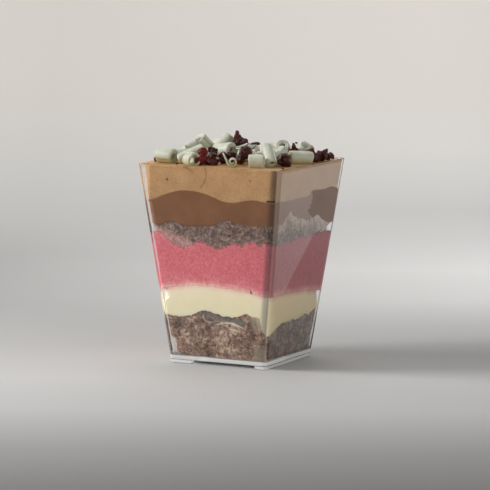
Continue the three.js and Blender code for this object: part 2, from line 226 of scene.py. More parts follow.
def mathNode(tree, operation, first, second=0.0, clamp=False):
    node = tree.nodes.new("ShaderNodeMath")
    node.operation = operation
    node.use_clamp = clamp
    for socket, value in zip(node.inputs, (first, second)):
        if isinstance(value, bpy.types.NodeSocket):
            tree.links.new(value, socket)
        else:
            socket.default_value = value
    return node.outputs["Value"]


def scaledNode(tree, value, factor, plus):
    node = tree.nodes.new("ShaderNodeMath")
    node.operation = "MULTIPLY_ADD"
    tree.links.new(value, node.inputs[0])
    node.inputs[1].default_value = factor
    node.inputs[2].default_value = plus
    return node.outputs["Value"]


def spanNode(tree, value, low, high):
    # 0 at low and 1 at high, held at both ends
    node = tree.nodes.new("ShaderNodeMapRange")
    node.inputs["From Min"].default_value = low
    node.inputs["From Max"].default_value = high
    tree.links.new(value, node.inputs["Value"])
    return node.outputs["Result"]


def heightNode(tree, where):
    split = tree.nodes.new("ShaderNodeSeparateXYZ")
    tree.links.new(where, split.inputs["Vector"])
    return split.outputs["Z"]


def attributeNode(tree, name):
    node = tree.nodes.new("ShaderNodeAttribute")
    node.attribute_name = name
    return node.outputs["Fac"]


def bumpNode(tree, shader, height, strength, depth):
    node = tree.nodes.new("ShaderNodeBump")
    node.inputs["Strength"].default_value = strength
    node.inputs["Distance"].default_value = depth * mm
    tree.links.new(height, node.inputs["Height"])
    tree.links.new(node.outputs["Normal"], shader.inputs["Normal"])


def softLight(shader, weight, reach, colour=(1, 0.5, 0.3)):
    # light that goes a little way into the food; reach in millimetres
    shader.inputs["Subsurface Weight"].default_value = weight
    shader.inputs["Subsurface Radius"].default_value = colour
    shader.inputs["Subsurface Scale"].default_value = reach * mm


# floor that curves up into a backdrop, and the lights

stageForm = {
    "front": -900, "bend": 420, "bendRadius": 500, "bendSteps": 24, "top": 2600,
    "halfWidth": 2600,
}
# painted light and shade on the paper left and right of the cup, darker towards the front, with
# the cup's painted shadow and a painted pool of light on the right: 0 is 0.3 m before it, 1 is 0.9
# m behind
paperPaintedLightLeft = [(0.05, 0.24), (0.10, 0.38), (0.16, 0.61), (0.21, 0.68), (0.27, 0.56), (0.36, 0.47),
             (0.5, 0.46), (0.66, 0.57), (0.78, 0.68), (1, 0.74)]
paperPaintedLightRight = [(0.05, 0.19), (0.10, 0.30), (0.16, 0.52), (0.22, 0.58), (0.28, 0.43), (0.32, 0.54),
              (0.38, 0.78), (0.46, 0.88), (0.56, 0.74), (0.64, 0.68), (0.73, 0.82), (1, 0.90)]
paperWidth = 0.22  # metres from the left tones to the right ones
paperWarmth = {"height": 0.05, "colour": (1.0, 0.957, 0.90)}


def makeStage():
    deselectAll()
    s = stageForm
    bpy.ops.mesh.primitive_plane_add(size=1, location=(0, 0, 0))
    sweep = named("backdropSweep")
    # the floor lies square to the camera's line of sight
    heading = math.atan2(ahead.y, ahead.x) - math.pi / 2
    for vertex in sweep.data.vertices:
        sideways = -1 if vertex.co.x < 0 else 1
        along = s["front"] if vertex.co.y < 0 else s["bend"]
        vertex.co = Vector((sideways * s["halfWidth"], along, 0)) * mm
    bpy.ops.object.mode_set(mode="EDIT")
    bpy.ops.mesh.select_all(action="DESELECT")
    bpy.ops.object.mode_set(mode="OBJECT")
    for edge in sweep.data.edges:
        edge.select = all(sweep.data.vertices[v].co.y > 0 for v in edge.vertices)
    bpy.ops.object.mode_set(mode="EDIT")
    bpy.ops.mesh.select_mode(type="EDGE")
    last = Vector((0, s["bend"], 0))
    for step in range(1, s["bendSteps"] + 1):
        angle = math.radians(90) * step / s["bendSteps"]
        point = Vector((0, s["bend"] + s["bendRadius"] * math.sin(angle),
                        s["bendRadius"] * (1 - math.cos(angle))))
        bpy.ops.mesh.extrude_region_move(
            TRANSFORM_OT_translate={"value": tuple((point - last) * mm)})
        last = point
    bpy.ops.mesh.extrude_region_move(
        TRANSFORM_OT_translate={"value": (0, 0, (s["top"] - s["bendRadius"]) * mm)})
    bpy.ops.object.mode_set(mode="OBJECT")
    sweep.rotation_euler = (0, 0, heading)
    applyPlace(sweep)
    bpy.ops.object.shade_smooth()
    material, tree, shader = newFinish("palePaper")
    where = place3d(tree)
    mapping = tree.nodes.new("ShaderNodeMapping")
    mapping.inputs["Rotation"].default_value = (0, 0, -heading)
    tree.links.new(where, mapping.inputs["Vector"])
    split = tree.nodes.new("ShaderNodeSeparateXYZ")
    tree.links.new(mapping.outputs["Vector"], split.inputs["Vector"])
    depth = scaledNode(tree, split.outputs["Y"], 1 / 1.2, 0.25)
    # the paper's tone is painted light and shade, with the cup's painted shadow and a painted pool
    # of light on the right
    left = rampNode(tree, depth, paperPaintedLightLeft)
    right = rampNode(tree, depth, paperPaintedLightRight)
    across = scaledNode(tree, split.outputs["X"], 1 / paperWidth, 0.5)
    grey = mixColours(tree, rampNode(tree, across, [(0.0, 0.0), (1.0, 1.0)]), left, right)
    high = mathNode(tree, "MULTIPLY", split.outputs["Z"], 1 / paperWarmth["height"], True)
    warm = mixColours(tree, high, (1.0, 1.0, 1.0), paperWarmth["colour"])
    grey = mixColours(tree, 1.0, grey, warm, "MULTIPLY")
    grain = noiseNode(tree, where, 0.9, 3)
    colour = mixColours(tree, 0.03, grey, rampNode(tree, grain, [(0.3, 0.4), (0.7, 1.0)]))
    tree.links.new(colour, shader.inputs["Base Color"])
    shader.inputs["Roughness"].default_value = 0.7
    shader.inputs["Specular IOR Level"].default_value = 0.2
    sweep.data.materials.append(material)


lightForms = {
    "key": {"towards": (-0.90, -0.44), "elevation": 30, "distance": 1700, "size": 640,
            "power": 22, "colour": (1.0, 0.985, 0.96)},
    "top": {"towards": (-0.3, 0.9), "elevation": 72, "distance": 1500, "size": 900,
            "power": 3.5, "colour": (0.93, 0.97, 1.0)},
    "sideFill": {"towards": (0.85, -0.5), "elevation": 10, "distance": 1500, "size": 900,
                 "power": 5.3, "colour": (1.0, 0.975, 0.94)},
}


def makeLights():
    for name, form in lightForms.items():
        climb = math.radians(form["elevation"])
        flat = Vector((*form["towards"], 0)).normalized() * math.cos(climb)
        out = Vector((flat.x, flat.y, math.sin(climb)))
        bpy.ops.object.light_add(type="AREA", location=out * form["distance"] * mm)
        lamp = bpy.context.active_object
        lamp.name = name + "Light"
        lamp.rotation_euler = (-out).to_track_quat("-Z", "Y").to_euler()
        lamp.data.size = form["size"] * mm
        lamp.data.energy = form["power"]
        lamp.data.color = form["colour"]
    world = bpy.data.worlds.new("softRoom")
    bpy.context.scene.world = world
    world.use_nodes = True
    tree = world.node_tree
    background = tree.nodes["Background"]
    direction = tree.nodes.new("ShaderNodeTexCoord").outputs["Generated"]
    split = tree.nodes.new("ShaderNodeSeparateXYZ")
    tree.links.new(direction, split.inputs["Vector"])
    share = scaledNode(tree, split.outputs["X"], -0.5, 0.5)
    # the room is lighter on the left
    light = rampNode(tree, share, [(0.0, (0.24, 0.235, 0.23)), (0.5, (0.28, 0.28, 0.28)),
                                   (1.0, (0.38, 0.385, 0.39))])
    tree.links.new(light, background.inputs["Color"])
    background.inputs["Strength"].default_value = 1.0


makeStage()
makeLights()
print("floor and lights made")


# the square column that the cup and all layers share

cupForm = {
    "height": 75.0, "topHalf": 29.3, "footHalf": 19.7, "wall": 1.3,
    "topCorner": 2.8, "footCorner": 1.6, "innerCornerLeast": 0.8,
    "floorTop": 3.4, "skirtHeight": 1.5, "skirtThickness": 2.0, "floorFillet": 0.7,
    "rimRound": 0.32, "footRound": 0.25, "archLeft": -10.9, "archRight": 15.4, "archRound": 0.7,
    "wallHeights": (8, 16, 26, 36, 46, 56, 64, 70, 73.2),
}
columnsPerSide = 180
columns = 4 * columnsPerSide
cornerShare = 0.055  # of a side's columns, in each of its two half corners


def outerHalf(height):
    return mix(cupForm["footHalf"], cupForm["topHalf"], height / cupForm["height"])


def outerCorner(height):
    return mix(cupForm["footCorner"], cupForm["topCorner"], height / cupForm["height"])


def innerHalf(height):
    return outerHalf(height) - cupForm["wall"]


def innerCorner(height):
    return max(cupForm["innerCornerLeast"], outerCorner(height) - cupForm["wall"])


def squarePoint(turn, half, corner):
    # turn 0 to 1 goes along the front from its left corner, then right, back and left side
    side = math.floor(turn) % 4
    share = turn - math.floor(turn)
    corner = min(corner, half * 0.999)
    straight = half - corner
    if share < cornerShare:
        angle = math.radians(225 + 45 * share / cornerShare)
        x, y = -straight + corner * math.cos(angle), -straight + corner * math.sin(angle)
    elif share > 1 - cornerShare:
        angle = math.radians(270 + 45 * (share - 1 + cornerShare) / cornerShare)
        x, y = straight + corner * math.cos(angle), -straight + corner * math.sin(angle)
    else:
        x = mix(-straight, straight, (share - cornerShare) / (1 - 2 * cornerShare))
        y = -half
    for _ in range(side):
        x, y = -y, x
    return x, y


def turnOf(vertex):
    return (math.degrees(math.atan2(vertex.co.y, vertex.co.x)) + 135) / 90 % 4


def tube(name, rows):
    # an open tube of unit rows, which place() then brings to its shape; both ends close later
    deselectAll()
    bpy.ops.mesh.primitive_circle_add(vertices=columns, radius=1, fill_type="NOTHING")
    piece = named(name)
    bpy.ops.object.mode_set(mode="EDIT")
    bpy.ops.mesh.select_all(action="SELECT")
    for _ in range(rows - 1):
        bpy.ops.mesh.extrude_region_move(TRANSFORM_OT_translate={"value": (0, 0, 1)})
    bpy.ops.object.mode_set(mode="OBJECT")
    return piece


def shapeTube(piece, rows, place):
    ends = {0: [], rows - 1: []}
    for vertex in piece.data.vertices:
        row = round(vertex.co.z)
        turn = turnOf(vertex)
        vertex.co = Vector(place(row, turn)) * mm
        if row in ends:
            ends[row].append(vertex.index)
    for indices in ends.values():
        pick(piece)
        bpy.ops.object.mode_set(mode="EDIT")
        bpy.ops.mesh.select_mode(type="VERT")
        bpy.ops.mesh.select_all(action="DESELECT")
        bpy.ops.object.mode_set(mode="OBJECT")
        for index in indices:
            piece.data.vertices[index].select = True
        bpy.ops.object.mode_set(mode="EDIT")
        bpy.ops.mesh.edge_face_add()
        bpy.ops.object.mode_set(mode="OBJECT")
    faceOutwards(piece)


# the clear cup

def cupProfile():
    # (height, inset from the outer wall) from under the floor, round the foot and over the rim
    c = cupForm
    skirt = c["skirtThickness"]
    points = [(c["skirtHeight"], inset) for inset in (17.0, 10.0, 4.0, skirt + 0.3)]
    points += [(c["skirtHeight"] - 0.3, skirt), (0.3, skirt - 0.1)]
    r = c["footRound"]
    for angle in (180, 225, 270):
        bend = math.radians(angle)
        points.append((r + r * math.sin(bend), skirt - 0.4 - r * math.cos(bend)))
    for angle in (0, 30, 60, 90):
        bend = math.radians(angle)
        points.append((r - r * math.cos(bend), r - r * math.sin(bend)))
    points += [(height, 0) for height in (1.0, 1.5, 2.2, 3.0, 4.0, *c["wallHeights"])]
    r = c["rimRound"]
    for angle in (0, 30, 60, 90):
        bend = math.radians(angle)
        points.append((c["height"] - r + r * math.sin(bend), r - r * math.cos(bend)))
    for angle in (90, 60, 30, 0):
        bend = math.radians(angle)
        points.append((c["height"] - r + r * math.sin(bend), c["wall"] - r + r * math.cos(bend)))
    points += [(height, c["wall"]) for height in reversed(c["wallHeights"])]
    f = c["floorFillet"]
    for angle in (0, 22.5, 45, 67.5, 90):
        bend = math.radians(angle)
        points.append((c["floorTop"] + f - f * math.sin(bend), c["wall"] + f - f * math.cos(bend)))
    return points + [(c["floorTop"], inset) for inset in (4.5, 10.0, 17.0)]


def makeCup():
    c = cupForm
    points = cupProfile()
    piece = tube("clearCup", len(points))

    def arch(along):
        # the height of the low opening in the front and back skirt
        left, right, bend = c["archLeft"], c["archRight"], c["archRound"]
        if not left < along < right:
            return 0
        near = min(along - left, right - along)
        if near > bend:
            return c["skirtHeight"]
        return c["skirtHeight"] - bend + math.sqrt(bend**2 - (bend - near) ** 2)

    def place(row, turn):
        height, inset = points[row]
        half = outerHalf(height) - inset
        corner = max(c["innerCornerLeast"], outerCorner(height) - inset)
        x, y = squarePoint(turn, half, corner)
        side = math.floor(turn) % 4
        if side in (0, 2) and height < c["skirtHeight"] and inset <= c["skirtThickness"] + 0.01:
            along = x if side == 0 else -x
            lift = arch(along)
            if lift > height:
                height = mix(height, lift, 0.97)
        return x, y, height

    shapeTube(piece, len(points), place)
    return piece


# tones up the cup's foot with white, painted light standing in for the light the clear slab
# carries: 0 is the ground, 1 is 10 mm up
footClearWithPaintedLight = [(0.0, 0.9), (0.02, 0.9), (0.035, 0.42), (0.13, 0.42), (0.15, 1.0), (0.17, 0.36),
             (0.3, 0.3), (0.315, 0.8), (0.345, 0.8), (0.36, 1.0)]
# thin dark lines where the foot's edges turn the light away
footTone = [(0.0, 0.25), (0.02, 0.3), (0.035, 1.0), (0.135, 1.0), (0.148, 0.45), (0.16, 0.45),
            (0.172, 1.0), (0.3, 1.0), (0.318, 0.35), (0.34, 0.35), (0.355, 0.99)]


def clearPlastic():
    material, tree, shader = newFinish("clearPlastic")
    output = tree.nodes["Material Output"]
    shader.inputs["IOR"].default_value = 1.59
    shader.inputs["Roughness"].default_value = 0.012
    where = place3d(tree)
    up = mathNode(tree, "MULTIPLY", heightNode(tree, where), 1 / (10 * mm))
    # the foot's less clear, whiter bands are painted light
    tree.links.new(rampNode(tree, up, footClearWithPaintedLight), shader.inputs["Transmission Weight"])
    tree.links.new(rampNode(tree, up, footTone), shader.inputs["Base Color"])
    bumpNode(tree, shader, noiseNode(tree, where, 14, 2), 0.15, 0.02)
    # lamps shine straight through the thin wall
    shadowRay = tree.nodes.new("ShaderNodeLightPath").outputs["Is Shadow Ray"]
    through = tree.nodes.new("ShaderNodeBsdfTransparent")
    through.inputs["Color"].default_value = (0.95, 0.955, 0.95, 1)
    blend = tree.nodes.new("ShaderNodeMixShader")
    tree.links.new(shadowRay, blend.inputs["Fac"])
    tree.links.new(shader.outputs["BSDF"], blend.inputs[1])
    tree.links.new(through.outputs["BSDF"], blend.inputs[2])
    tree.links.new(blend.outputs["Shader"], output.inputs["Surface"])
    return material


clearCup = finishPiece(makeCup(), clearPlastic(), "clear_plastic", "cup")
pick(clearCup)
bpy.ops.object.shade_smooth_by_angle(angle=math.radians(35))
print("cup made")


# the edges where the layers meet, read along the four walls

# (place along the side from -1 to 1 seen from outside, height); jag: how ragged the edge is
seams = {
    "baseTop": {
        "level": 18.6,
        "front": [(-0.98, 18.0), (-0.84, 18.1), (-0.63, 17.9), (-0.51, 18.5), (-0.39, 19.5),
                  (-0.26, 20.8), (-0.14, 20.9), (0.07, 19.6), (0.29, 19.0), (0.43, 19.3),
                  (0.54, 20.9), (0.68, 20.1), (0.81, 19.6), (0.9, 18.4)],
        "right": [(-0.9, 16.6), (-0.65, 16.2), (-0.45, 16.4), (-0.29, 16.5), (0.02, 16.5),
                  (0.21, 16.6), (0.4, 17.3), (0.59, 17.1), (0.78, 18.2), (0.98, 19.0)],
        "back": [(-0.8, 19.4), (-0.5, 17.6), (-0.2, 18.2), (0.1, 19.8), (0.4, 18.7), (0.8, 17.4)],
        "left": [(-0.8, 17.8), (-0.4, 19.8), (0.0, 20.2), (0.4, 18.4), (0.75, 17.2)],
        "jag": 0.5, "jagSize": 0.9,
    },
    "creamTop": {
        "level": 28.4,
        "front": [(-0.98, 27.8), (-0.81, 28.7), (-0.58, 29.4), (-0.35, 30.0), (-0.13, 30.1),
                  (0.09, 30.0), (0.31, 29.7), (0.53, 29.2), (0.66, 28.5), (0.75, 28.0),
                  (0.97, 27.5)],
        "right": [(-0.94, 27.6), (-0.5, 27.8), (-0.04, 27.2), (0.43, 26.5), (0.92, 25.3)],
        "back": [(-0.8, 25.2), (-0.2, 27.4), (0.3, 29.0), (0.8, 27.8)],
        "left": [(-0.8, 27.0), (-0.2, 26.4), (0.3, 27.4), (0.8, 28.2)],
        "jag": 0.12, "jagSize": 3.0,
    },
    "cherryTop": {
        "level": 47.0,
        "front": [(-0.95, 49.8), (-0.82, 49.7), (-0.75, 48.4), (-0.68, 47.0), (-0.6, 45.9),
                  (-0.51, 44.9), (-0.42, 44.7), (-0.33, 45.8), (-0.22, 46.9), (-0.11, 46.7),
                  (-0.01, 45.5), (0.08, 44.7), (0.23, 45.9), (0.41, 47.0), (0.46, 45.8),
                  (0.51, 47.2), (0.65, 48.1), (0.74, 47.0), (0.84, 47.9), (0.95, 47.5)],
        "right": [(-0.9, 47.3), (-0.6, 47.2), (-0.2, 47.9), (0.1, 47.7), (0.3, 48.3),
                  (0.6, 48.4), (0.9, 48.0)],
        "back": [(-0.7, 47.2), (-0.3, 45.4), (0.1, 45.0), (0.5, 47.6), (0.8, 48.2)],
        "left": [(-0.8, 47.4), (-0.3, 45.6), (0.1, 46.2), (0.5, 48.4), (0.85, 49.4)],
        "jag": 0.55, "jagSize": 0.75,
    },
    "crumbTop": {
        "level": 53.4,
        "front": [(-1.0, 53.4), (-0.8, 52.4), (-0.61, 53.9), (-0.4, 52.7), (-0.3, 52.3),
                  (-0.06, 53.0), (0.05, 53.7), (0.12, 54.8), (0.27, 55.2), (0.39, 54.6),
                  (0.61, 54.0), (0.73, 53.9), (0.86, 54.3), (0.98, 55.0)],
        "right": [(-0.9, 55.1), (-0.75, 54.7), (-0.63, 56.3), (-0.52, 59.4), (-0.43, 57.4),
                  (-0.33, 56.5), (-0.15, 55.4), (0.1, 53.9), (0.24, 54.6), (0.37, 55.2),
                  (0.54, 53.2), (0.71, 51.6), (0.87, 50.9), (0.98, 51.4)],
        "back": [(-0.7, 52.4), (-0.3, 54.2), (0.1, 52.6), (0.5, 53.6), (0.8, 52.8)],
        "left": [(-0.8, 53.0), (-0.3, 54.8), (0.1, 55.4), (0.5, 53.2), (0.85, 52.8)],
        "jag": 0.4, "jagSize": 0.8,
    },
    "caramelTop": {
        "level": 63.2,
        "front": [(-1.0, 60.6), (-0.87, 61.4), (-0.69, 63.4), (-0.52, 65.1), (-0.36, 65.8),
                  (-0.23, 65.7), (-0.05, 64.9), (0.06, 63.8), (0.16, 62.7), (0.27, 62.2),
                  (0.37, 62.3), (0.48, 63.0), (0.64, 63.6), (0.82, 63.0), (0.95, 62.7)],
        "right": [(-0.9, 63.2), (-0.55, 63.1), (-0.23, 63.2), (0.02, 63.3), (0.09, 65.1),
                  (0.25, 64.9), (0.47, 64.6), (0.68, 65.0), (0.86, 64.0), (0.98, 62.6)],
        "back": [(-0.7, 62.4), (-0.2, 60.8), (0.2, 61.6), (0.6, 63.8), (0.85, 63.0)],
        "left": [(-0.8, 62.8), (-0.3, 65.0), (0.1, 65.4), (0.5, 63.2), (0.85, 61.0)],
        "jag": 0.08, "jagSize": 1.6,
    },
}
# the cream's foot lies on the sponge's top and runs down beside it in the corners
baseTop = seams["baseTop"]
seams["creamFoot"] = {
    **baseTop,
    "front": baseTop["front"][:12] + [(0.81, 19.4), (0.85, 16.9), (0.9, 14.4), (0.96, 13.2)],
    "right": [(-0.96, 13.0), (-0.84, 13.6), (-0.68, 14.3), (-0.54, 15.6)]
    + baseTop["right"][2:9] + [(0.98, 17.5)],
    "back": [(-0.95, 12.0), (-0.7, 18.6)] + baseTop["back"][1:5] + [(0.8, 16.4), (0.96, 11.5)],
    "left": [(-0.96, 11.8), (-0.8, 17.2)] + baseTop["left"][1:5] + [(0.97, 16.6)],
}
sideNames = ("front", "right", "back", "left")
seamTables = {}


def seamTable(name):
    # one list of (turn, height) round the cup, with its two ends repeated a turn away
    if name not in seamTables:
        points = []
        for side, sideName in enumerate(sideNames):
            points += [(side + (u + 1) / 2, z) for u, z in seams[name][sideName]]
        points.sort()
        before = [(t - 4, z) for t, z in points[-3:]]
        after = [(t + 4, z) for t, z in points[:3]]
        seamTables[name] = before + points + after
    return seamTables[name]


def smoothSeam(name, turn):
    points = seamTable(name)
    index = next(i for i in range(2, len(points)) if points[i][0] > turn)
    (t0, z0), (t1, z1), (t2, z2) = points[index - 2:index + 1]
    t3, z3 = points[min(index + 1, len(points) - 1)]
    slope1 = (z2 - z0) / (t2 - t0)
    slope2 = (z3 - z1) / (t3 - t1)
    width = t2 - t1
    s = (turn - t1) / width
    return ((2 * s**3 - 3 * s**2 + 1) * z1 + (s**3 - 2 * s**2 + s) * width * slope1
            + (3 * s**2 - 2 * s**3) * z2 + (s**3 - s**2) * width * slope2)


def seamHeight(name, turn):
    smooth = smoothSeam(name, turn)
    half = innerHalf(smooth)
    x, y = squarePoint(turn, half, seamCorner)
    seam = seams[name]
    seed = 1 + sorted(seams).index("baseTop" if name == "creamFoot" else name)
    coarse = speckle((x, y, 0), seam["jagSize"] * 2.2, seed)
    fine = speckle((x, y, 0), seam["jagSize"] * 0.8, seed + 3)
    return smooth + seam["jag"] * (coarse * 1.1 + fine * 0.9)


# each layer: the seams under and over it, rows of points up its sides, how far it goes into the
# wall, and how deep and wide its crumb is
layerForms = {
    "base_sponge": {"under": None, "over": "baseTop", "rows": 52, "reach": 0.02,
                    "crumb": 0.42, "crumbSize": 1.5},
    "vanilla_cream": {"under": "creamFoot", "over": "creamTop", "rows": 34, "reach": 0.05},
    "cherry_mousse": {"under": "creamTop", "over": "cherryTop", "rows": 40, "reach": 0.05},
    "dark_sponge": {"under": "cherryTop", "over": "crumbTop", "rows": 34, "reach": 0.01,
                    "crumb": 0.3, "crumbSize": 1.0},
    "caramel_cream": {"under": "crumbTop", "over": "caramelTop", "rows": 34, "reach": 0.05},
    "chocolate_mousse": {"under": "caramelTop", "over": None, "rows": 40, "reach": 0.05},
}
# (height, extra round) of the upright corners: front left, front right, back right, back left
cornerRounds = {
    "base_sponge": {0: [(9.3, 4.4), (10.2, 0.5)], 1: [(3.4, 0.1), (12.0, 0.1), (18.0, 3.0)],
                    2: [(3.4, 0.8), (19.0, 0.8)], 3: [(3.4, 1.2)]},
    "vanilla_cream": {0: [(23.8, 0.2), (24.9, 2.9), (28.4, 3.2)],
                      2: [(19.4, 0.6), (24.3, 3.6), (26.0, 4.0)]},
    "cherry_mousse": {0: [(28.0, 0.2)]},
    "dark_sponge": {0: [(48.0, 2.6)], 2: [(50.0, 4.6), (51.0, 1.0)], 3: [(48.0, 0.8)]},
    "caramel_cream": {0: [(60.0, 1.6)]},
    "chocolate_mousse": {0: [(61.0, 0.3), (75.0, 3.4)], 2: [(62.0, 1.0)], 3: [(70.0, 1.0)]},
}
capShares = (0.0, 0.3, 0.55, 0.75, 0.88, 0.95, 0.985)  # rings of the upper and under faces
layerGap = 0.02
creamOverlap = 0.03  # the two creams meet with no line between them
seamCorner = 1.2  # round of the corners where the seams are read
seamCache = {}
mousseTop = {"edge": 74.55, "dome": 1.35, "reach": 17}
gapStarts = (1.072, 1.079)  # turns between which the right side leaves the wall
airGap = -0.1
cornerSpan = 8  # millimetres beside the near corner that its shading knows
# (height, place along the right side from -1 to 1) from where the layer touches the wall
contactEdges = {
    "caramel_cream": [(53.0, 0.5), (54.5, 0.3), (56.0, 0.08), (57.6, 0.02), (59.5, 0.09),
                      (61.0, 0.13), (64.0, 0.11)],
    "cherry_mousse": [(28.0, -0.47), (33.0, -0.27), (38.0, -0.05), (47.0, 0.3)],
}
# lines and blots on the front, as (place along it, height): dark ones below 0, pale ones above,
# which on the base sponge are painted highlights along its air pocket
wallMarks = {
    "chocolate_mousse": [
        {"path": [(-1.4, 75.0), (-0.8, 73.0), (-0.9, 70.9), (-2.0, 68.8), (-3.6, 67.0)],
         "width": 0.22, "tone": -0.55},
        {"path": [(-10.2, 74.4), (-8.1, 74.1), (-6.1, 72.8)], "width": 0.22,
         "tone": -0.5},
        {"path": [(-17.1, 69.7), (-17.0, 69.5)], "width": 0.45, "tone": -0.9},
        {"path": [(17.0, 70.8), (17.0, 70.7)], "width": 0.4, "tone": -0.6},
        {"path": [(23.6, 63.5), (27.0, 63.6)], "width": 0.34, "tone": -1.6},
    ],
    "cherry_mousse": [
        {"path": [(15.0, 29.6), (15.2, 28.5)], "width": 0.3, "tone": -1},
    ],
    # painted highlights: thin bright arcs along the air pocket's edge
    "base_sponge": [
        {"path": [(0.4, 15.9), (2.4, 16.6), (4.5, 16.9), (7.6, 16.6), (10.9, 15.4)],
         "width": 0.2, "tone": 1.1},
        {"path": [(-5.0, 19.6), (-5.2, 18.4), (-4.5, 17.2), (-2.8, 16.6), (-1.0, 16.8)],
         "width": 0.16, "tone": 0.7},
    ],
}
crumbForm = {"warpSize": 1.6, "warp": 0.6, "cellStart": 0.25, "cellGain": 1.3, "cellShare": 0.6,
             "blotSize": 1.7, "blotShare": 0.6, "closed": 0.42, "gain": 1.6,
             "seamMargin": 0.5, "cornerMargin": (2.2, 3.4)}
pocketForm = {"paths": [[(-3.9, 19.8), (-2.0, 19.6), (0.4, 18.2)],
                        [(1.8, 17.9), (6.0, 18.2), (9.4, 17.5), (11.6, 16.6)]],
              "width": 1.15, "depth": 0.55}
smearForm = {"path": [(-24.6, 49.9), (-19.2, 49.0), (-15.1, 47.4), (-9.0, 45.2)], "width": 2.8}


def alongList(points, value):
    # the straight-line value of a list of (place, value) at a place, held at its ends
    if value <= points[0][0]:
        return points[0][1]
    for (a, first), (b, second) in zip(points, points[1:]):
        if value <= b:
            return mix(first, second, (value - a) / (b - a))
    return points[-1][1]


def pathDistance(point, path):
    nearest = 99.0
    for (ax, ay), (bx, by) in zip(path, path[1:]):
        dx, dy = bx - ax, by - ay
        along = ((point[0] - ax) * dx + (point[1] - ay) * dy) / (dx * dx + dy * dy)
        along = min(1, max(0, along))
        nearest = min(nearest, math.hypot(point[0] - ax - dx * along, point[1] - ay - dy * along))
    return nearest


def topOfMousse(x, y):
    t = mousseTop
    swell = t["dome"] * math.exp(-(x * x + y * y) / (2 * t["reach"] ** 2))
    return t["edge"] + swell + 0.12 * speckle((x, y, 3), 6) + 0.05 * speckle((x, y, 3), 1.6)


def seamAt(name, seam, turn):
    # the seam's height where this layer's side really is, whatever its corner's round
    key = (name, seam, turn)
    if key not in seamCache:
        level = seams[seam]["level"]
        half = innerHalf(level)
        x, y = squarePoint(turn, half, cornerOf(name, turn, level))
        side = math.floor(turn) % 4
        along = (x, y, -x, -y)[side] / (half - seamCorner)
        share = cornerShare + (along + 1) / 2 * (1 - 2 * cornerShare)
        seamCache[key] = seamHeight(seam, side + min(0.9999, max(0, share)))
    return seamCache[key]


def underside(name, turn):
    form = layerForms[name]
    if form["under"] is None:
        return cupForm["floorTop"] + 0.05
    apart = -creamOverlap if form["under"] == "creamTop" else layerGap / 2
    return seamAt(name, form["under"], turn) + apart


def upperside(name, turn):
    form = layerForms[name]
    if form["over"] is None:
        return mousseTop["edge"]
    return seamAt(name, form["over"], turn) - layerGap / 2


def wallReach(name, turn, height):
    # how far the layer's side stands past the cup's inner wall: a gap where it is below 0
    reach = layerForms[name]["reach"]
    if not 1 < turn < 2:
        return reach
    u = 2 * (turn - 1) - 1
    apart = ease(turn, *gapStarts)
    if name == "chocolate_mousse":
        apart *= ease(-turn, -1.985, -1.96) * ease(-height, -74.1, -73.5)
        return mix(reach, airGap, apart)
    if name in ("dark_sponge", "base_sponge"):
        return mix(reach, airGap * 0.6, apart)
    if name in ("caramel_cream", "cherry_mousse"):
        # only the far half of the right side touches the wall
        border = alongList(contactEdges[name], height)
        if name == "caramel_cream":
            border += 0.14 * speckle((height, 0, 0), 0.8)
        touching = ease(u, border - 0.012, border + 0.012)
        return mix(airGap, reach, max(touching, 1 - apart))
    return reach


def cornerOf(name, turn, height):
    # the round of the layer's upright corner nearest to this place
    nearest = math.floor(turn + 0.5) % 4
    extra = cornerRounds[name].get(nearest)
    return innerCorner(height) + (alongList(extra, height) if extra else 0)


def nearCornerPlace(turn, half, corner):
    # millimetres along the sides from the near upright corner, below 0 on the front
    away = turn - 1
    arc = corner * math.pi / 4
    if abs(away) <= cornerShare:
        return arc * away / cornerShare
    flat = (abs(away) - cornerShare) / (1 - 2 * cornerShare) * 2 * (half - corner)
    return max(-cornerSpan, min(cornerSpan, math.copysign(arc + flat, away)))


def pocketAt(name, turn, x, height):
    if name != "base_sponge" or not 0 < turn < 1:
        return 0
    nearest = min(pathDistance((x, height), path) for path in pocketForm["paths"])
    return 1 - ease(nearest, pocketForm["width"] * 0.7, pocketForm["width"])


def crumbOpenness(p, size):
    # how far the crumb stands back from the wall here: warped cells and broad blots
    c = crumbForm
    warp = Vector([speckle(p, c["warpSize"], seed) for seed in (5, 6, 7)]) * c["warp"]
    nearest = noise.voronoi((p + warp) / size)[0][0]
    blot = (speckle(p, size * c["blotSize"], 4) + 1) / 2
    cell = min(1, max(0, (nearest - c["cellStart"]) * c["cellGain"]))
    return cell * c["cellShare"] + blot * c["blotShare"]


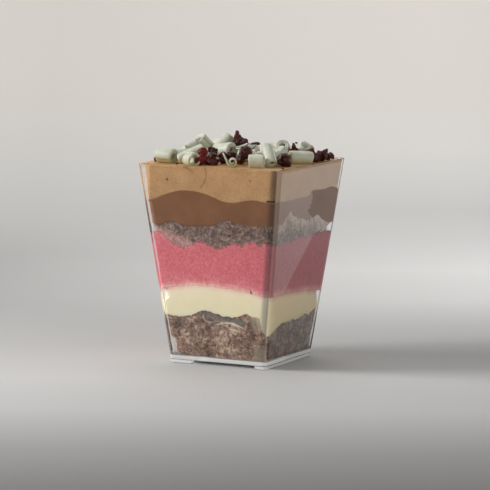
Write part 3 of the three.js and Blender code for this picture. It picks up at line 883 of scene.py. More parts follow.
def markLayer(piece, name, places, pores):
    # what the finish must know at each point; places: (row, turn) of each
    sideRows = layerForms[name]["rows"]
    caps = len(capShares)
    values = {"nearCorner": [], "fromUnder": [], "fromOver": [], "pore": [], "mark": [],
              "pocket": [], "smear": [], "aboveSeam": [], "rightSide": []}
    for (row, turn), vertex in zip(places, piece.data.vertices):
        x, y, z = vertex.co / mm
        onSide = caps <= row < caps + sideRows
        share = (row - caps) / (sideRows - 1)
        low, high = underside(name, turn), upperside(name, turn)
        side = math.floor(turn) % 4
        along = (x, y, -x, -y)[side]
        onFront = onSide and side == 0
        mark = 0
        for one in wallMarks.get(name, ()) if onFront else ():
            off = pathDistance((along, z), one["path"])
            mark += one["tone"] * (1 - ease(off, one["width"] * 0.5, one["width"] * 1.4))
        smear = 0
        if onFront and name in ("dark_sponge", "cherry_mousse"):
            smear = 1 - ease(pathDistance((along, z), smearForm["path"]), 0.4, smearForm["width"])
        values["nearCorner"].append(
            nearCornerPlace(turn, innerHalf(z), innerCorner(z)) if onSide else cornerSpan)
        values["fromUnder"].append(share * (high - low) if onSide else 6)
        values["fromOver"].append((1 - share) * (high - low) if onSide else 6)
        values["pore"].append(pores.get((row, round(turn, 4)), 0.5))
        values["mark"].append(mark)
        values["pocket"].append(pocketAt(name, turn, along, z) if onSide else 0)
        values["smear"].append(smear)
        values["aboveSeam"].append(z - smoothSeam("creamTop", turn))
        values["rightSide"].append(1 if 1.05 < turn < 1.95 else 0)
    for key, numbers in values.items():
        attribute = piece.data.attributes.new(key, "FLOAT", "POINT")
        attribute.data.foreach_set("value", numbers)


def makeLayer(name):
    form = layerForms[name]
    sideRows = form["rows"]
    caps = len(capShares)
    rows = sideRows + 2 * caps
    piece = tube(name + "Look", rows)
    places = [(round(v.co.z), turnOf(v)) for v in piece.data.vertices]
    pores = {}

    def place(row, turn):
        low, high = underside(name, turn), upperside(name, turn)
        if row < caps:  # under face, from the middle out
            share = capShares[row]
            seam = form["under"]
            level = seams[seam]["level"] + layerGap / 2 if seam else low
            height = mix(level, low, share ** 5)
            half = (innerHalf(low) + form["reach"]) * share + 0.02
            x, y = squarePoint(turn, half, cornerOf(name, turn, low) * share + 0.01)
            return x, y, height
        if row >= caps + sideRows:  # upper face, from the side in
            share = capShares[rows - 1 - row]
            half = (innerHalf(high) + form["reach"]) * share + 0.02
            x, y = squarePoint(turn, half, cornerOf(name, turn, high) * share + 0.01)
            if form["over"] is None:
                return x, y, topOfMousse(x, y)
            height = mix(seams[form["over"]]["level"] - layerGap / 2, high, share ** 5)
            return x, y, height
        share = (row - caps) / (sideRows - 1)
        height = mix(low, high, share)
        corner = cornerOf(name, turn, height)
        half = innerHalf(height) + wallReach(name, turn, height)
        x, y = squarePoint(turn, half, corner)
        if "crumb" in form:
            # the crumb touches the wall in blots and stands back between them
            openness = crumbOpenness(Vector((x, y, height)), form["crumbSize"])
            edge = ease(min(height - low, high - height), 0, crumbForm["seamMargin"])
            depth = form["crumb"] * max(0, openness - crumbForm["closed"]) * crumbForm["gain"]
            depth += pocketForm["depth"] * pocketAt(name, turn, x, height)
            depth *= edge
            depth *= ease(abs(nearCornerPlace(turn, half, corner)), *crumbForm["cornerMargin"])
            x, y = squarePoint(turn, half - depth, corner)
            pores[(row, round(turn, 4))] = openness
        if form["over"] is None and share > 0.999:
            height = topOfMousse(x, y)
        return x, y, height

    shapeTube(piece, rows, place)
    markLayer(piece, name, places, pores)
    return piece


def raggedEdge(tree, where, colour, edge, reach, size, tone):
    # a ragged band of tone up to reach millimetres from a seam; on the mousse and the dark sponge
    # these are traces of the neighbour
    rough = noiseNode(tree, where, size, 3, 0.7)
    limit = mathNode(tree, "MULTIPLY", spanNode(tree, rough, 0.42, 0.68), reach)
    inside = mathNode(tree, "SUBTRACT", limit, attributeNode(tree, edge))
    return mixColours(tree, spanNode(tree, inside, 0.0, 0.12), colour, tone)


def nearCornerShare(tree):
    # 0.5 is the near upright corner, below it the front and above it the right side
    return spanNode(tree, attributeNode(tree, "nearCorner"), -cornerSpan, cornerSpan)


def wallShading(tree, colour, dark, beside, share=0.8):
    # marks on the wall, the pale ones painted highlights, then painted shade at the near corner
    # with a painted pale reflection of the wall beside it
    mark = attributeNode(tree, "mark")
    colour = mixColours(tree, spanNode(tree, mark, 0.0, -1.0), colour, (0.03, 0.02, 0.014))
    colour = mixColours(tree, spanNode(tree, mark, 0.0, 1.0), colour, (0.66, 0.58, 0.48))
    place = nearCornerShare(tree)
    # painted shade: the layer darkened at the near corner
    shade = rampNode(tree, place, [(0.33, 1.0), (0.42, dark), (0.495, dark), (0.515, 1.0)])
    colour = mixColours(tree, 1.0, colour, shade, "MULTIPLY")
    # painted reflection: the wall's pale tone just right of the corner
    pale = rampNode(tree, place, [(0.495, 0.0), (0.515, share), (0.625, share), (0.645, 0.0)])
    return mixColours(tree, pale, colour, beside)


def finishLayer(tree, shader, colour, rough, height, strength, depth):
    tree.links.new(colour, shader.inputs["Base Color"])
    shader.inputs["Roughness"].default_value = rough
    shader.inputs["Specular IOR Level"].default_value = 0.25
    bumpNode(tree, shader, height, strength, depth)


def mousseFinish(name, colours, size, bubbles, dark, beside):
    # colours: dark, middle and light tones of one mousse
    material, tree, shader = newFinish(name)
    where = place3d(tree)
    broad = noiseNode(tree, where, size, 4, 0.6)
    colour = rampNode(tree, broad, [(0.3, colours[0]), (0.5, colours[1]), (0.72, colours[2])])
    fine = noiseNode(tree, where, 0.6, 4, 0.75)
    colour = mixColours(tree, 0.38, colour, rampNode(tree, fine, [(0.35, 0.28), (0.65, 0.72)]),
                        "OVERLAY")
    pits = rampNode(tree, cellNode(tree, where, 1.7), [(0.04, 0.6), (0.11, 1.0)])
    colour = mixColours(tree, bubbles, colour, pits, "MULTIPLY")
    # painted shade at the near corner and a painted reflection of the wall beside it
    colour = wallShading(tree, colour, dark, beside)
    finishLayer(tree, shader, colour, 0.5, fine, 0.2, 0.08)
    return material


def cherryMousseFinish(name, isCream):
    # the pink mousse and the ivory cream run into each other over a few millimetres
    material, tree, shader = newFinish(name)
    where = place3d(tree)
    cloud = noiseNode(tree, where, 5, 3)
    height = mathNode(tree, "ADD", attributeNode(tree, "aboveSeam"),
                      scaledNode(tree, cloud, 2.0, -1.0))
    height = spanNode(tree, height, -6, 6)
    blend = rampNode(tree, height, [
        (0.0, (0.87, 0.815, 0.59)), (0.36, (0.90, 0.84, 0.63)), (0.44, (0.89, 0.75, 0.60)),
        (0.52, (0.86, 0.56, 0.49)), (0.6, (0.78, 0.34, 0.345)), (0.7, (0.72, 0.215, 0.25)),
        (1.0, (0.69, 0.175, 0.21))])
    broad = noiseNode(tree, where, 6, 4)
    fine = noiseNode(tree, where, 1.0, 4, 0.75)
    colour = mixColours(tree, 0.3, blend, rampNode(tree, broad, [(0.35, 0.38), (0.65, 0.60)]),
                        "OVERLAY")
    colour = mixColours(tree, 0.12 if isCream else 0.6, colour,
                        rampNode(tree, fine, [(0.35, 0.26), (0.65, 0.74)]), "OVERLAY")
    if not isCream:
        pits = rampNode(tree, cellNode(tree, where, 1.5), [(0.05, 0.7), (0.13, 1.0)])
        colour = mixColours(tree, 0.7, colour, pits, "MULTIPLY")
        colour = raggedEdge(tree, where, colour, "fromOver", 1.1, 0.55, (0.16, 0.085, 0.075))
        worms = rampNode(tree, noiseNode(tree, where, 0.9, 3, 0.6, 1.5),
                         [(0.47, 0.0), (0.5, 1.0), (0.53, 0.0)])
        pale = mathNode(tree, "MULTIPLY", worms, attributeNode(tree, "smear"))
        colour = mixColours(tree, pale, colour, (0.88, 0.56, 0.54))
    # less light reaches the right side
    sideTone = rampNode(tree, height, [(0.35, (0.95, 0.87, 0.77)), (0.75, (0.70, 0.52, 0.55))])
    darker = mixColours(tree, attributeNode(tree, "rightSide"), (1.0, 1.0, 1.0), sideTone)
    colour = mixColours(tree, 1.0, colour, darker, "MULTIPLY")
    # painted shade darkens the cream and the mousse at the near corner, and beside it the mousse
    # gets a painted pale reflection of the wall
    colour = wallShading(tree, colour, 0.5 if isCream else 0.42,
                         (0.40, 0.18, 0.175), 0.0 if isCream else 0.8)
    finishLayer(tree, shader, colour, 0.5, fine, 0.15, 0.06)
    return material


def spongeFinish(name, tones, size):
    # tones: deep crumb, crumb touching the wall, dry crumb, palest flakes
    material, tree, shader = newFinish(name)
    where = place3d(tree)
    swirl = noiseNode(tree, where, size * 1.5, 5, 0.66, 0.9)
    flecks = noiseNode(tree, where, size * 0.45, 4, 0.65, 0.5)
    patch = noiseNode(tree, where, size * 4.2, 2)
    factor = scaledNode(tree, spanNode(tree, swirl, 0.28, 0.74), 0.62, -0.34)
    for part, weight in ((spanNode(tree, flecks, 0.28, 0.72), 0.5),
                         (spanNode(tree, patch, 0.3, 0.7), 0.34),
                         (attributeNode(tree, "pore"), 0.18)):
        scaled = mathNode(tree, "MULTIPLY", part, weight)
        factor = mathNode(tree, "ADD", factor, scaled)
    colour = rampNode(tree, factor, [(0.22, tones[0]), (0.4, tones[1]), (0.56, tones[2]),
                                     (0.76, tones[3])])
    return material, tree, shader, where, colour, flecks


def baseSpongeFinish():
    material, tree, shader, where, colour, flecks = spongeFinish(
        "baseSponge", [(0.05, 0.02, 0.011), (0.165, 0.072, 0.042), (0.30, 0.172, 0.112),
                       (0.56, 0.43, 0.33)], 1.9)
    flakes = noiseNode(tree, where, 1.3, 3, 0.6, 2.0)
    lines = rampNode(tree, flakes, [(0.455, 0.0), (0.475, 0.5), (0.495, 0.0), (0.56, 0.0),
                                    (0.572, 0.35), (0.585, 0.0)])
    colour = mixColours(tree, lines, colour, (0.62, 0.5, 0.41))
    # painted shade in the recessed air pocket
    colour = mixColours(tree, attributeNode(tree, "pocket"), colour, (0.155, 0.13, 0.1))
    # a dark ragged rim along the sponge's top, under the cream
    colour = raggedEdge(tree, where, colour, "fromOver", 1.0, 1.2, (0.13, 0.082, 0.035))
    # painted shade: the right side, which also touches the wall less, is darkened
    darker = mixColours(tree, attributeNode(tree, "rightSide"), (1.0, 1.0, 1.0),
                        (0.52, 0.42, 0.36))
    colour = mixColours(tree, 1.0, colour, darker, "MULTIPLY")
    # pale streaks of cream on the right, and a soft haze of it below its tongue
    streaks = rampNode(tree, noiseNode(tree, where, 2.6, 5, 0.7, 1.2), [(0.5, 0.0), (0.6, 0.85)])
    streaks = mathNode(tree, "MULTIPLY", streaks, attributeNode(tree, "rightSide"))
    colour = mixColours(tree, streaks, colour, (0.36, 0.27, 0.21))
    haze = mathNode(tree, "MULTIPLY", spanNode(tree, attributeNode(tree, "fromOver"), 6.0, 0.3),
                    rampNode(tree, nearCornerShare(tree),
                             [(0.22, 0.0), (0.36, 0.85), (0.5, 1.0), (0.7, 0.85), (0.86, 0.0)]))
    colour = mixColours(tree, haze, colour, (0.46, 0.385, 0.26))
    olive = mathNode(tree, "MULTIPLY", spanNode(tree, attributeNode(tree, "fromUnder"), 6.0, 4.2),
                     rampNode(tree, nearCornerShare(tree),
                              [(0.22, 0.0), (0.31, 0.8), (0.5, 0.8), (0.53, 0.0)]))
    colour = mixColours(tree, olive, colour, (0.27, 0.245, 0.165))
    # painted shade at the near corner, with no painted reflection beside it
    colour = wallShading(tree, colour, 0.85, (0.15, 0.12, 0.1), 0.0)
    finishLayer(tree, shader, colour, 0.8, flecks, 0.6, 0.3)
    return material


def darkSpongeFinish():
    material, tree, shader, where, colour, flecks = spongeFinish(
        "darkSponge", [(0.03, 0.013, 0.009), (0.115, 0.055, 0.037), (0.22, 0.127, 0.093),
                       (0.42, 0.3, 0.23)], 0.42)
    colour = raggedEdge(tree, where, colour, "fromUnder", 0.7, 0.5, (0.5, 0.2, 0.2))
    worms = rampNode(tree, noiseNode(tree, where, 0.9, 3, 0.6, 1.5),
                     [(0.45, 0.0), (0.5, 1.0), (0.55, 0.0)])
    smear = attributeNode(tree, "smear")
    colour = mixColours(tree, mathNode(tree, "MULTIPLY", smear, 0.45), colour, (0.55, 0.25, 0.24))
    colour = mixColours(tree, mathNode(tree, "MULTIPLY", worms, smear), colour, (0.8, 0.5, 0.47))
    # on the right a whitish torn film lies over the crumb, thickest at its top
    tall = tree.nodes.new("ShaderNodeMapping")
    tall.inputs["Scale"].default_value = (1, 1, 0.35)
    tree.links.new(where, tall.inputs["Vector"])
    torn = noiseNode(tree, tall.outputs["Vector"], 0.8, 4, 0.6, 0.8)
    film = mathNode(tree, "SUBTRACT", spanNode(tree, torn, 0.3, 0.62),
                    spanNode(tree, attributeNode(tree, "fromOver"), 1.0, 9.0), True)
    film = mathNode(tree, "MULTIPLY", film, attributeNode(tree, "rightSide"))
    colour = mixColours(tree, film, colour, (0.66, 0.5, 0.39))
    # painted shade at the near corner and a painted reflection of the wall beside it
    colour = wallShading(tree, colour, 0.6, (0.27, 0.21, 0.175), 0.8)
    finishLayer(tree, shader, colour, 0.8, flecks, 0.6, 0.25)
    return material


layerFinishes = {
    "base_sponge": baseSpongeFinish(),
    "vanilla_cream": cherryMousseFinish("vanillaCream", True),
    "cherry_mousse": cherryMousseFinish("cherryMousse", False),
    "dark_sponge": darkSpongeFinish(),
    # each mousse: painted shade at the near corner, then the colour of its painted reflection
    # beside it
    "caramel_cream": mousseFinish("caramelCream", [(0.2, 0.072, 0.017), (0.23, 0.087, 0.022),
                                                   (0.26, 0.104, 0.03)], 7, 0.15, 0.45,
                                  (0.30, 0.215, 0.165)),
    "chocolate_mousse": mousseFinish("chocolateMousse", [(0.475, 0.27, 0.115),
                                                         (0.535, 0.315, 0.142),
                                                         (0.59, 0.36, 0.17)], 7, 0.4, 0.36,
                                     (0.44, 0.325, 0.235)),
}
for layerName in layerForms:
    layer = makeLayer(layerName)
    finishPiece(layer, layerFinishes[layerName], layerName, layerName)
    print(layerName, "made")


# white chocolate curls

# yaw, tilt and spin in degrees, length and radius in millimetres; each stands where its node does
curlForms = {
    "curl_01": {"yaw": -4, "tilt": -3, "length": 6.9, "radius": 2.3, "spin": 200},
    "curl_02": {"yaw": 24, "tilt": 0, "length": 7.0, "radius": 2.0, "spin": 40},
    "curl_03": {"yaw": -32, "tilt": 0, "length": 5.4, "radius": 1.95, "spin": 120, "open": 0.5},
    "curl_04": {"yaw": 18, "tilt": 0, "length": 5.4, "radius": 2.0, "spin": 250},
    "curl_05": {"yaw": 42, "tilt": -3, "length": 8.6, "radius": 2.05, "spin": 20},
    "curl_06": {"yaw": 34, "tilt": 0, "length": 7.6, "radius": 1.8, "spin": 80},
    "curl_07": {"yaw": 6, "tilt": 0, "length": 7.0, "radius": 1.9, "spin": 300},
    "curl_08": {"yaw": 70, "tilt": 0, "length": 6.4, "radius": 1.9, "spin": 150},
    "curl_09": {"yaw": -50, "tilt": 0, "length": 8.4, "radius": 2.1, "spin": 60},
    "curl_10": {"yaw": -20, "tilt": 9, "length": 7.6, "radius": 2.2, "spin": 210},
    "curl_11": {"yaw": 66, "tilt": 0, "length": 8.4, "radius": 2.0, "spin": 330},
    "curl_12": {"yaw": -28, "tilt": 0, "length": 7.6, "radius": 1.9, "spin": 45},
    "curl_13": {"yaw": 24, "tilt": 52, "length": 7.2, "radius": 1.7, "spin": 180, "slant": 2.0},
    "curl_14": {"yaw": 14, "tilt": 0, "length": 8.4, "radius": 2.0, "spin": 100},
    "curl_15": {"yaw": 72, "tilt": 0, "length": 8.6, "radius": 2.0, "spin": 260},
    "curl_16": {"yaw": 84, "tilt": 0, "length": 8.4, "radius": 1.9, "spin": 10},
    "curl_17": {"yaw": -22, "tilt": 0, "length": 9.0, "radius": 2.1, "spin": 140},
    "curl_18": {"yaw": 44, "tilt": 0, "length": 8.4, "radius": 2.0, "spin": 70},
    "curl_19": {"yaw": -14, "tilt": 0, "length": 8.6, "radius": 2.1, "spin": 310},
    "curl_20": {"yaw": 8, "tilt": 0, "length": 9.0, "radius": 2.0, "spin": 190},
    "curl_21": {"yaw": -20, "tilt": 0, "length": 8.2, "radius": 2.0, "spin": 90},
    "curl_22": {"yaw": -36, "tilt": 0, "length": 7.4, "radius": 1.9, "spin": 240},
    "curl_23": {"yaw": 32, "tilt": 22, "length": 9.8, "radius": 1.75, "spin": 215},
    "curl_24": {"yaw": 48, "tilt": 24, "length": 4.8, "radius": 1.4, "spin": 30, "slant": 1.6},
    "curl_25": {"yaw": 60, "tilt": -44, "length": 8.4, "radius": 2.05, "spin": 160},
    "curl_26": {"yaw": 46, "tilt": 44, "length": 8.2, "radius": 1.9, "spin": 280},
    "curl_27": {"yaw": -50, "tilt": -40, "length": 9.8, "radius": 1.65, "spin": 50},
    "curl_28": {"yaw": 86, "tilt": 30, "length": 7.6, "radius": 1.6, "spin": 130},
    "curl_29": {"yaw": -72, "tilt": 32, "length": 7.6, "radius": 2.1, "spin": 225},
}
rollForm = {"along": 12, "around": 48, "turns": 1.9, "openTurns": 1.25, "core": 0.14,
            "fill": 0.92, "widen": 1.04, "taper": 0.07, "endPinch": 0.1, "oval": 0.025,
            "dents": 0.05, "endCut": 0.35, "endRagged": 0.3, "innerShort": 0.25}


def boxMiddle(node):
    low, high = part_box(node)
    return (low + high) / 2


def meshBox(piece):
    places = [vertex.co for vertex in piece.data.vertices]
    return (Vector([min(place[i] for place in places) for i in range(3)]),
            Vector([max(place[i] for place in places) for i in range(3)]))


def makeCurl(name, form, seed):
    # a shaving rolled up tightly; "open" leaves the middle of the roll free
    deselectAll()
    r = rollForm
    bpy.ops.mesh.primitive_grid_add(x_subdivisions=r["along"], y_subdivisions=r["around"], size=1)
    piece = named(name + "Look")
    chance = random.Random(seed)
    outer = form["radius"] * r["widen"]
    core = outer * form.get("open", r["core"])
    lean = chance.uniform(-r["taper"], r["taper"])
    phase = chance.uniform(0, 6)
    turns = r["openTurns" if "open" in form else "turns"] + chance.uniform(-0.15, 0.2)
    thickness = (outer - core) / turns * r["fill"]
    slant = form.get("slant", 0)
    endLean = [chance.uniform(-r["endCut"], r["endCut"]) for _ in range(4)]
    for vertex in piece.data.vertices:
        along, wound = vertex.co.x + 0.5, vertex.co.y + 0.5
        angle = math.radians(form["spin"]) + 2 * math.pi * turns * (wound - 1)
        radius = mix(core + thickness * 0.5, outer, wound)
        radius *= 1 + lean * (along - 0.5) * 2
        radius *= 1 - r["endPinch"] * abs(2 * along - 1) ** 6
        radius *= 1 + r["oval"] * math.sin(2 * angle + phase + along * 2)
        radius += r["dents"] * speckle((along * form["length"], angle, seed), 1.3)
        end = 1 if along > 0.5 else 0
        cut = endLean[end] * math.cos(angle) + endLean[end + 2] * math.sin(angle)
        x = (along - 0.5) * form["length"] + cut * abs(2 * along - 1) * 0.8
        ragged = r["endRagged"] * speckle((wound * 7, end, seed), 1)
        x += (ragged - r["innerShort"] * (1 - wound)) * (2 * along - 1)
        if slant and along > 0.5:
            x += slant * (along - 0.5) * math.cos(angle) * 1.4
        vertex.co = Vector((x, radius * math.cos(angle), radius * math.sin(angle))) * mm
    thicken(piece, thickness, -1)
    piece.rotation_euler = Euler((0, -math.radians(form["tilt"]), math.radians(form["yaw"])))
    piece.location = boxMiddle(name)
    applyPlace(piece)
    faceOutwards(piece)
    return piece


def whiteChocolate():
    material, tree, shader = newFinish("whiteChocolate")
    where = place3d(tree)
    broad = noiseNode(tree, where, 3.0, 3)
    colour = rampNode(tree, broad, [(0.3, (0.56, 0.57, 0.45)), (0.55, (0.64, 0.655, 0.555)),
                                    (0.8, (0.72, 0.745, 0.69))])
    # yellower low down, where less light gets in
    low = spanNode(tree, heightNode(tree, where), 79.0 * mm, 75.0 * mm)
    patch = spanNode(tree, noiseNode(tree, where, 5.0, 2), 0.42, 0.62)
    yellow = mathNode(tree, "MULTIPLY", low, scaledNode(tree, patch, 0.5, 0.3))
    colour = mixColours(tree, yellow, colour, (0.60, 0.55, 0.22))
    uv = tree.nodes.new("ShaderNodeUVMap").outputs["UV"]
    mapping = tree.nodes.new("ShaderNodeMapping")
    mapping.inputs["Scale"].default_value = (38, 3, 1)
    tree.links.new(uv, mapping.inputs["Vector"])
    ridges = tree.nodes.new("ShaderNodeTexNoise")
    ridges.inputs["Scale"].default_value = 1
    ridges.inputs["Detail"].default_value = 2
    tree.links.new(mapping.outputs["Vector"], ridges.inputs["Vector"])
    tree.links.new(colour, shader.inputs["Base Color"])
    shader.inputs["Roughness"].default_value = 0.42
    softLight(shader, 0.3, 1.0, (1, 0.9, 0.55))
    bumpNode(tree, shader, ridges.outputs["Fac"], 0.35, 0.12)
    return material


whiteChocolateFinish = whiteChocolate()
for seed, (name, form) in enumerate(curlForms.items()):
    finishPiece(makeCurl(name, form, seed), whiteChocolateFinish, "white_chocolate", name)
print("curls made")

# the thin curl seen from its end, with its straight tail
scrollForm = {"yaw": -62, "length": 3.4, "radius": 1.75, "turns": 1.4, "end": 205,
              "thickness": 0.62, "tail": 4.4, "tailShare": 0.3, "pitch": 0.95, "steps": 60}


def makeScroll():
    deselectAll()
    s = scrollForm
    bpy.ops.mesh.primitive_grid_add(x_subdivisions=6, y_subdivisions=s["steps"], size=1)
    piece = named("scroll_01Look")
    rolled = 1 - s["tailShare"]
    for vertex in piece.data.vertices:
        along, wound = vertex.co.x + 0.5, vertex.co.y + 0.5
        turnShare = min(1, wound / rolled)
        angle = math.radians(s["end"]) + 2 * math.pi * s["turns"] * (1 - turnShare)
        radius = s["radius"] - s["pitch"] * s["turns"] * (1 - turnShare)
        y, z = radius * math.cos(angle), radius * math.sin(angle)
        if wound > rolled:
            past = (wound - rolled) / s["tailShare"] * s["tail"]
            y += math.sin(angle) * past
            z -= math.cos(angle) * past
        x = (along - 0.5) * s["length"] * (1 - 0.6 * max(0, wound - rolled) / s["tailShare"])
        vertex.co = Vector((x, y, z)) * mm
    thicken(piece, s["thickness"], 0)
    piece.rotation_euler = Euler((0, 0, math.radians(s["yaw"])))
    applyPlace(piece)
    low, high = meshBox(piece)
    piece.location = boxMiddle("scroll_01") - (low + high) / 2
    applyPlace(piece)
    faceOutwards(piece)
    return piece


finishPiece(makeScroll(), whiteChocolateFinish, "white_chocolate", "scroll_01")
print("scroll made")


# dried cherries

# lobes as (x, z, size) in shares of half the node's box; grow: how much the box is widened
cherryForms = {
    "cherry_01": {"lobes": [(-0.5, -0.3, 0.62), (0.45, -0.4, 0.6), (0.1, 0.5, 0.55)],
                  "grow": 1.18},
    "cherry_02": {"lobes": [(-0.4, -0.4, 0.66), (0.35, -0.35, 0.6), (0.0, 0.45, 0.62)],
                  "red": True, "grow": 1.2, "shift": (0.7, -1.0, -0.1)},
    "cherry_03": {"lobes": [(-0.4, -0.5, 0.6), (0.05, 0, 0.62), (0.5, 0.35, 0.6),
                           (-0.1, 0.55, 0.4)], "grow": 1.22},
    "cherry_04": {"lobes": [(-0.45, -0.45, 0.66), (0.45, -0.45, 0.66), (-0.1, 0.35, 0.62),
                           (0.25, 0.3, 0.5)], "grow": 1.2},
    "cherry_05": {"lobes": [(-0.35, 0.3, 0.6), (0.35, -0.2, 0.65)], "grow": 1.25},
    "cherry_06": {"lobes": [(-0.35, -0.2, 0.65), (0.4, 0.3, 0.55)], "grow": 1.25},
    "cherry_07": {"lobes": [(-0.4, 0, 0.6), (0.4, 0.2, 0.6)]},
    "cherry_08": {"lobes": [(0, 0, 0.9)]},
    "cherry_09": {"lobes": [(0, -0.3, 0.7), (0.1, 0.45, 0.5)]},
    "cherry_10": {"lobes": [(-0.4, 0.2, 0.55), (0.3, -0.2, 0.65)]},
    "cherry_11": {"lobes": [(-0.4, -0.2, 0.6), (0.35, 0.2, 0.6)]},
    "cherry_12": {"lobes": [(-0.3, 0, 0.7), (0.4, 0.1, 0.55)]},
    "cherry_13": {"lobes": [(-0.3, 0, 0.6), (0.4, -0.1, 0.6)]},
    "cherry_14": {"lobes": [(-0.3, -0.2, 0.65), (0.3, 0.3, 0.55)]},
    "cherry_15": {"lobes": [(-0.5, -0.55, 0.45), (0.5, -0.55, 0.45), (0, 0.1, 0.38),
                           (0.02, 0.65, 0.22)]},
    "cherry_16": {"lobes": [(-0.3, 0.1, 0.6), (0.35, -0.2, 0.6)]},
    "cherry_17": {"lobes": [(-0.5, 0, 0.5), (0.5, 0.1, 0.5)]},
    "cherry_18": {"lobes": [(0, -0.3, 0.65), (0, 0.4, 0.55)]},
    "cherry_19": {"lobes": [(-0.55, -0.5, 0.44), (-0.5, 0.0, 0.4), (-0.52, 0.45, 0.3),
                           (-0.6, 0.78, 0.2), (0.05, -0.3, 0.42), (0.55, -0.6, 0.42)]},
}
wrinkleForm = {"cuts": 13, "cutNear": 0.72, "cutFar": 1.05, "edge": 9, "plump": 1.22,
               "voxel": 0.16, "lump": 0.16, "lumpSize": 1.5, "crease": 0.24, "creaseSize": 1.25,
               "creaseSharp": 2.6, "fine": 0.07}


def makeCherry(name, form, seed):
    # angular lobes are fused, then the skin is creased and the piece fitted to its node's box
    w = wrinkleForm
    low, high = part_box(name)
    reachOut = (high - low) / 2 / mm
    chance = random.Random(300 + seed)
    parts = []
    for px, pz, size in form["lobes"]:
        deselectAll()
        bpy.ops.mesh.primitive_ico_sphere_add(subdivisions=4, radius=1)
        lobe = named(name + "Lobe")
        cuts = []
        for _ in range(w["cuts"]):
            way = Vector([chance.gauss(0, 1) for _ in range(3)]).normalized()
            cuts.append((way, chance.uniform(w["cutNear"], w["cutFar"])))
        for vertex in lobe.data.vertices:
            d = vertex.co.normalized()
            near = sum(max(0, d.dot(way) / far) ** w["edge"] for way, far in cuts)
            near = near ** (-1 / w["edge"])
            p = d * min(near, 1.25) * size * w["plump"]
            vertex.co = Vector(((p.x + px) * reachOut.x, p.y * reachOut.y,
                                (p.z + pz) * reachOut.z)) * mm
        parts.append(lobe)
    piece = joinParts(parts, name + "Look")
    fuse = piece.modifiers.new("fuse", "REMESH")
    fuse.mode = "VOXEL"
    fuse.voxel_size = w["voxel"] * mm
    applyModifiers(piece)
    normals = [v.normal.copy() for v in piece.data.vertices]
    sharp = w["creaseSharp"]
    for vertex, way in zip(piece.data.vertices, normals):
        p = vertex.co / mm
        bend = Vector([speckle(p, 1.1, seed + step) for step in (0, 7, 13)])
        wide = 1 - abs(speckle(p + bend * 0.5, w["creaseSize"], seed + 40)) * sharp
        narrow = 1 - abs(speckle(p + bend * 0.3, w["creaseSize"] * 0.55, seed + 60)) * sharp
        depth = w["crease"] * (max(0, wide) ** 2 + 0.35 * max(0, narrow) ** 2)
        lift = w["lump"] * speckle(p, w["lumpSize"], seed) - depth
        lift += w["fine"] * speckle(p, 0.4, seed + 80)
        vertex.co = vertex.co + way * lift * mm
    least, most = meshBox(piece)
    for vertex in piece.data.vertices:
        for i in range(3):
            share = (vertex.co[i] - least[i]) / (most[i] - least[i]) - 0.5
            grown = share * (high[i] - low[i]) * form.get("grow", 1.1)
            vertex.co[i] = (low[i] + high[i]) / 2 + grown + form.get("shift", (0, 0, 0))[i] * mm
    return piece


def driedCherry(name, tones, soft):
    material, tree, shader = newFinish(name)
    where = place3d(tree)
    broad = noiseNode(tree, where, 1.6, 4, 0.65)
    colour = rampNode(tree, broad, [(0.34, tones[0]), (0.52, tones[1]), (0.7, tones[2])])
    tree.links.new(colour, shader.inputs["Base Color"])
    shader.inputs["Roughness"].default_value = 0.36
    shader.inputs["Specular IOR Level"].default_value = 0.32
    softLight(shader, soft, 1.0, (1, 0.1, 0.08))
    fine = noiseNode(tree, where, 0.5, 3)
    bumpNode(tree, shader, fine, 0.5, 0.15)
    return material


darkCherry = driedCherry("driedCherry", [(0.012, 0.002, 0.0015), (0.06, 0.007, 0.0045),
                                         (0.2, 0.02, 0.012)], 0.0)
brightCherry = driedCherry("brightCherry", [(0.05, 0.003, 0.003), (0.2, 0.009, 0.009),
                                            (0.4, 0.03, 0.025)], 0.15)
for seed, (name, form) in enumerate(cherryForms.items()):
    finish = brightCherry if form.get("red") else darkCherry
    finishPiece(makeCherry(name, form, seed), finish, "dried_cherry", name)
print("cherries made")

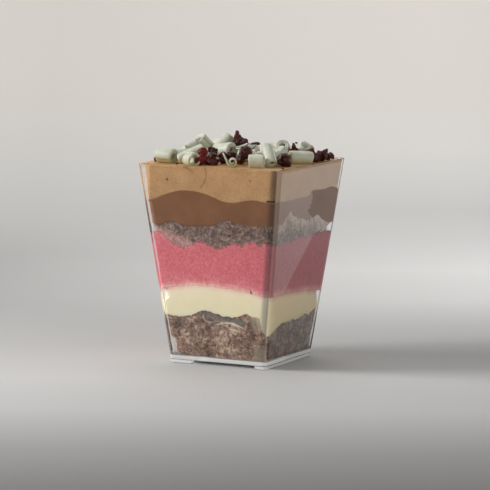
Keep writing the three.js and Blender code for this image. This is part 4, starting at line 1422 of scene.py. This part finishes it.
# small flat flakes, dark skins and crumbs let down on the heap: (x, y, yaw, tilt, long, wide)
flakeForms = {
    "flakes": {"thickness": 0.45, "bend": 0.5, "places": [
        (-6.5, -8.0, 30, 8, 4.6, 2.2), (-1.5, -11.5, -20, 14, 4.4, 2.0),
        (4.5, -9.0, 60, 6, 5.0, 2.4), (8.5, -13.5, 10, 10, 4.2, 1.8),
        (1.5, -4.0, 35, 18, 5.0, 2.6), (11.5, -6.5, -50, 8, 4.4, 2.0),
        (-11.5, -3.5, 80, 12, 4.2, 2.0), (6.0, 3.0, 20, 10, 5.0, 2.2),
        (-4.0, 4.0, -35, 8, 4.6, 2.4), (13.5, 2.5, 75, 12, 4.0, 1.8),
        (-9.0, 10.0, 15, 10, 4.4, 2.2), (3.0, 11.5, -60, 8, 4.4, 2.0)]},
    "skins": {"thickness": 0.25, "bend": 1.6, "places": [
        (4.5, -1.0, 26, 24, 3.4, 0.8), (7.0, 0.5, -10, 34, 2.4, 0.6),
        (-3.0, 8.0, 70, 20, 2.6, 0.7)]},
    "crumbs": {"thickness": 0.5, "bend": 0.2, "places": [
        (-14.6, -25.0, 40, 0, 0.9, 0.6), (26.3, -20.0, 30, 0, 0.8, 0.6),
        (-25.6, 3.0, 20, 0, 1.0, 0.7), (10.0, 25.5, 80, 0, 1.0, 0.8),
        (-12.0, 25.0, 0, 0, 0.9, 0.7), (25.8, 24.5, 60, 0, 0.9, 0.6)]},
}
flakeEdge = {"ragged": 0.2, "narrow": 0.35, "uneven": 0.12}


def restHeight(x, y):
    # where something let down here comes to rest on the heap or the mousse
    bpy.context.view_layer.update()
    depsgraph = bpy.context.evaluated_depsgraph_get()
    found, point, *_ = bpy.context.scene.ray_cast(
        depsgraph, Vector((x, y, 120)) * mm, Vector((0, 0, -1)))
    return point.z / mm if found else mousseTop["edge"]


def makeFlakes(name, form, seed):
    rests = [restHeight(place[0], place[1]) for place in form["places"]]
    parts = []
    for index, ((x, y, yaw, tilt, long, wide), rest) in enumerate(zip(form["places"], rests)):
        deselectAll()
        bpy.ops.mesh.primitive_grid_add(x_subdivisions=8, y_subdivisions=4, size=1)
        flake = named(name + str(index))
        for vertex in flake.data.vertices:
            u, v = vertex.co.x * 2, vertex.co.y * 2
            ragged = 1 + flakeEdge["ragged"] * speckle((u * 2, v * 2, index), 1, seed)
            narrow = 1 - flakeEdge["narrow"] * max(0, u) ** 2
            lift = form["bend"] * (u * u - 0.3) * 0.5
            lift += flakeEdge["uneven"] * speckle((u, v, index), 0.6, seed)
            vertex.co = Vector((u * long / 2 * ragged, v * wide / 2 * narrow * ragged, lift)) * mm
        thicken(flake, form["thickness"], 0)
        flake.rotation_euler = Euler((0, -math.radians(tilt), math.radians(yaw)))
        flake.location = Vector((x, y, rest + form["thickness"] * 0.7)) * mm
        applyPlace(flake)
        parts.append(flake)
    piece = joinParts(parts, name + "Loose")
    faceOutwards(piece)
    return piece


looseFinishes = {"flakes": (whiteChocolateFinish, "white_chocolate"),
                 "skins": (darkCherry, "dried_cherry"), "crumbs": (darkCherry, "dried_cherry")}
for seed, (name, form) in enumerate(flakeForms.items()):
    finishPiece(makeFlakes(name, form, 500 + seed), *looseFinishes[name])
print("loose flakes made")
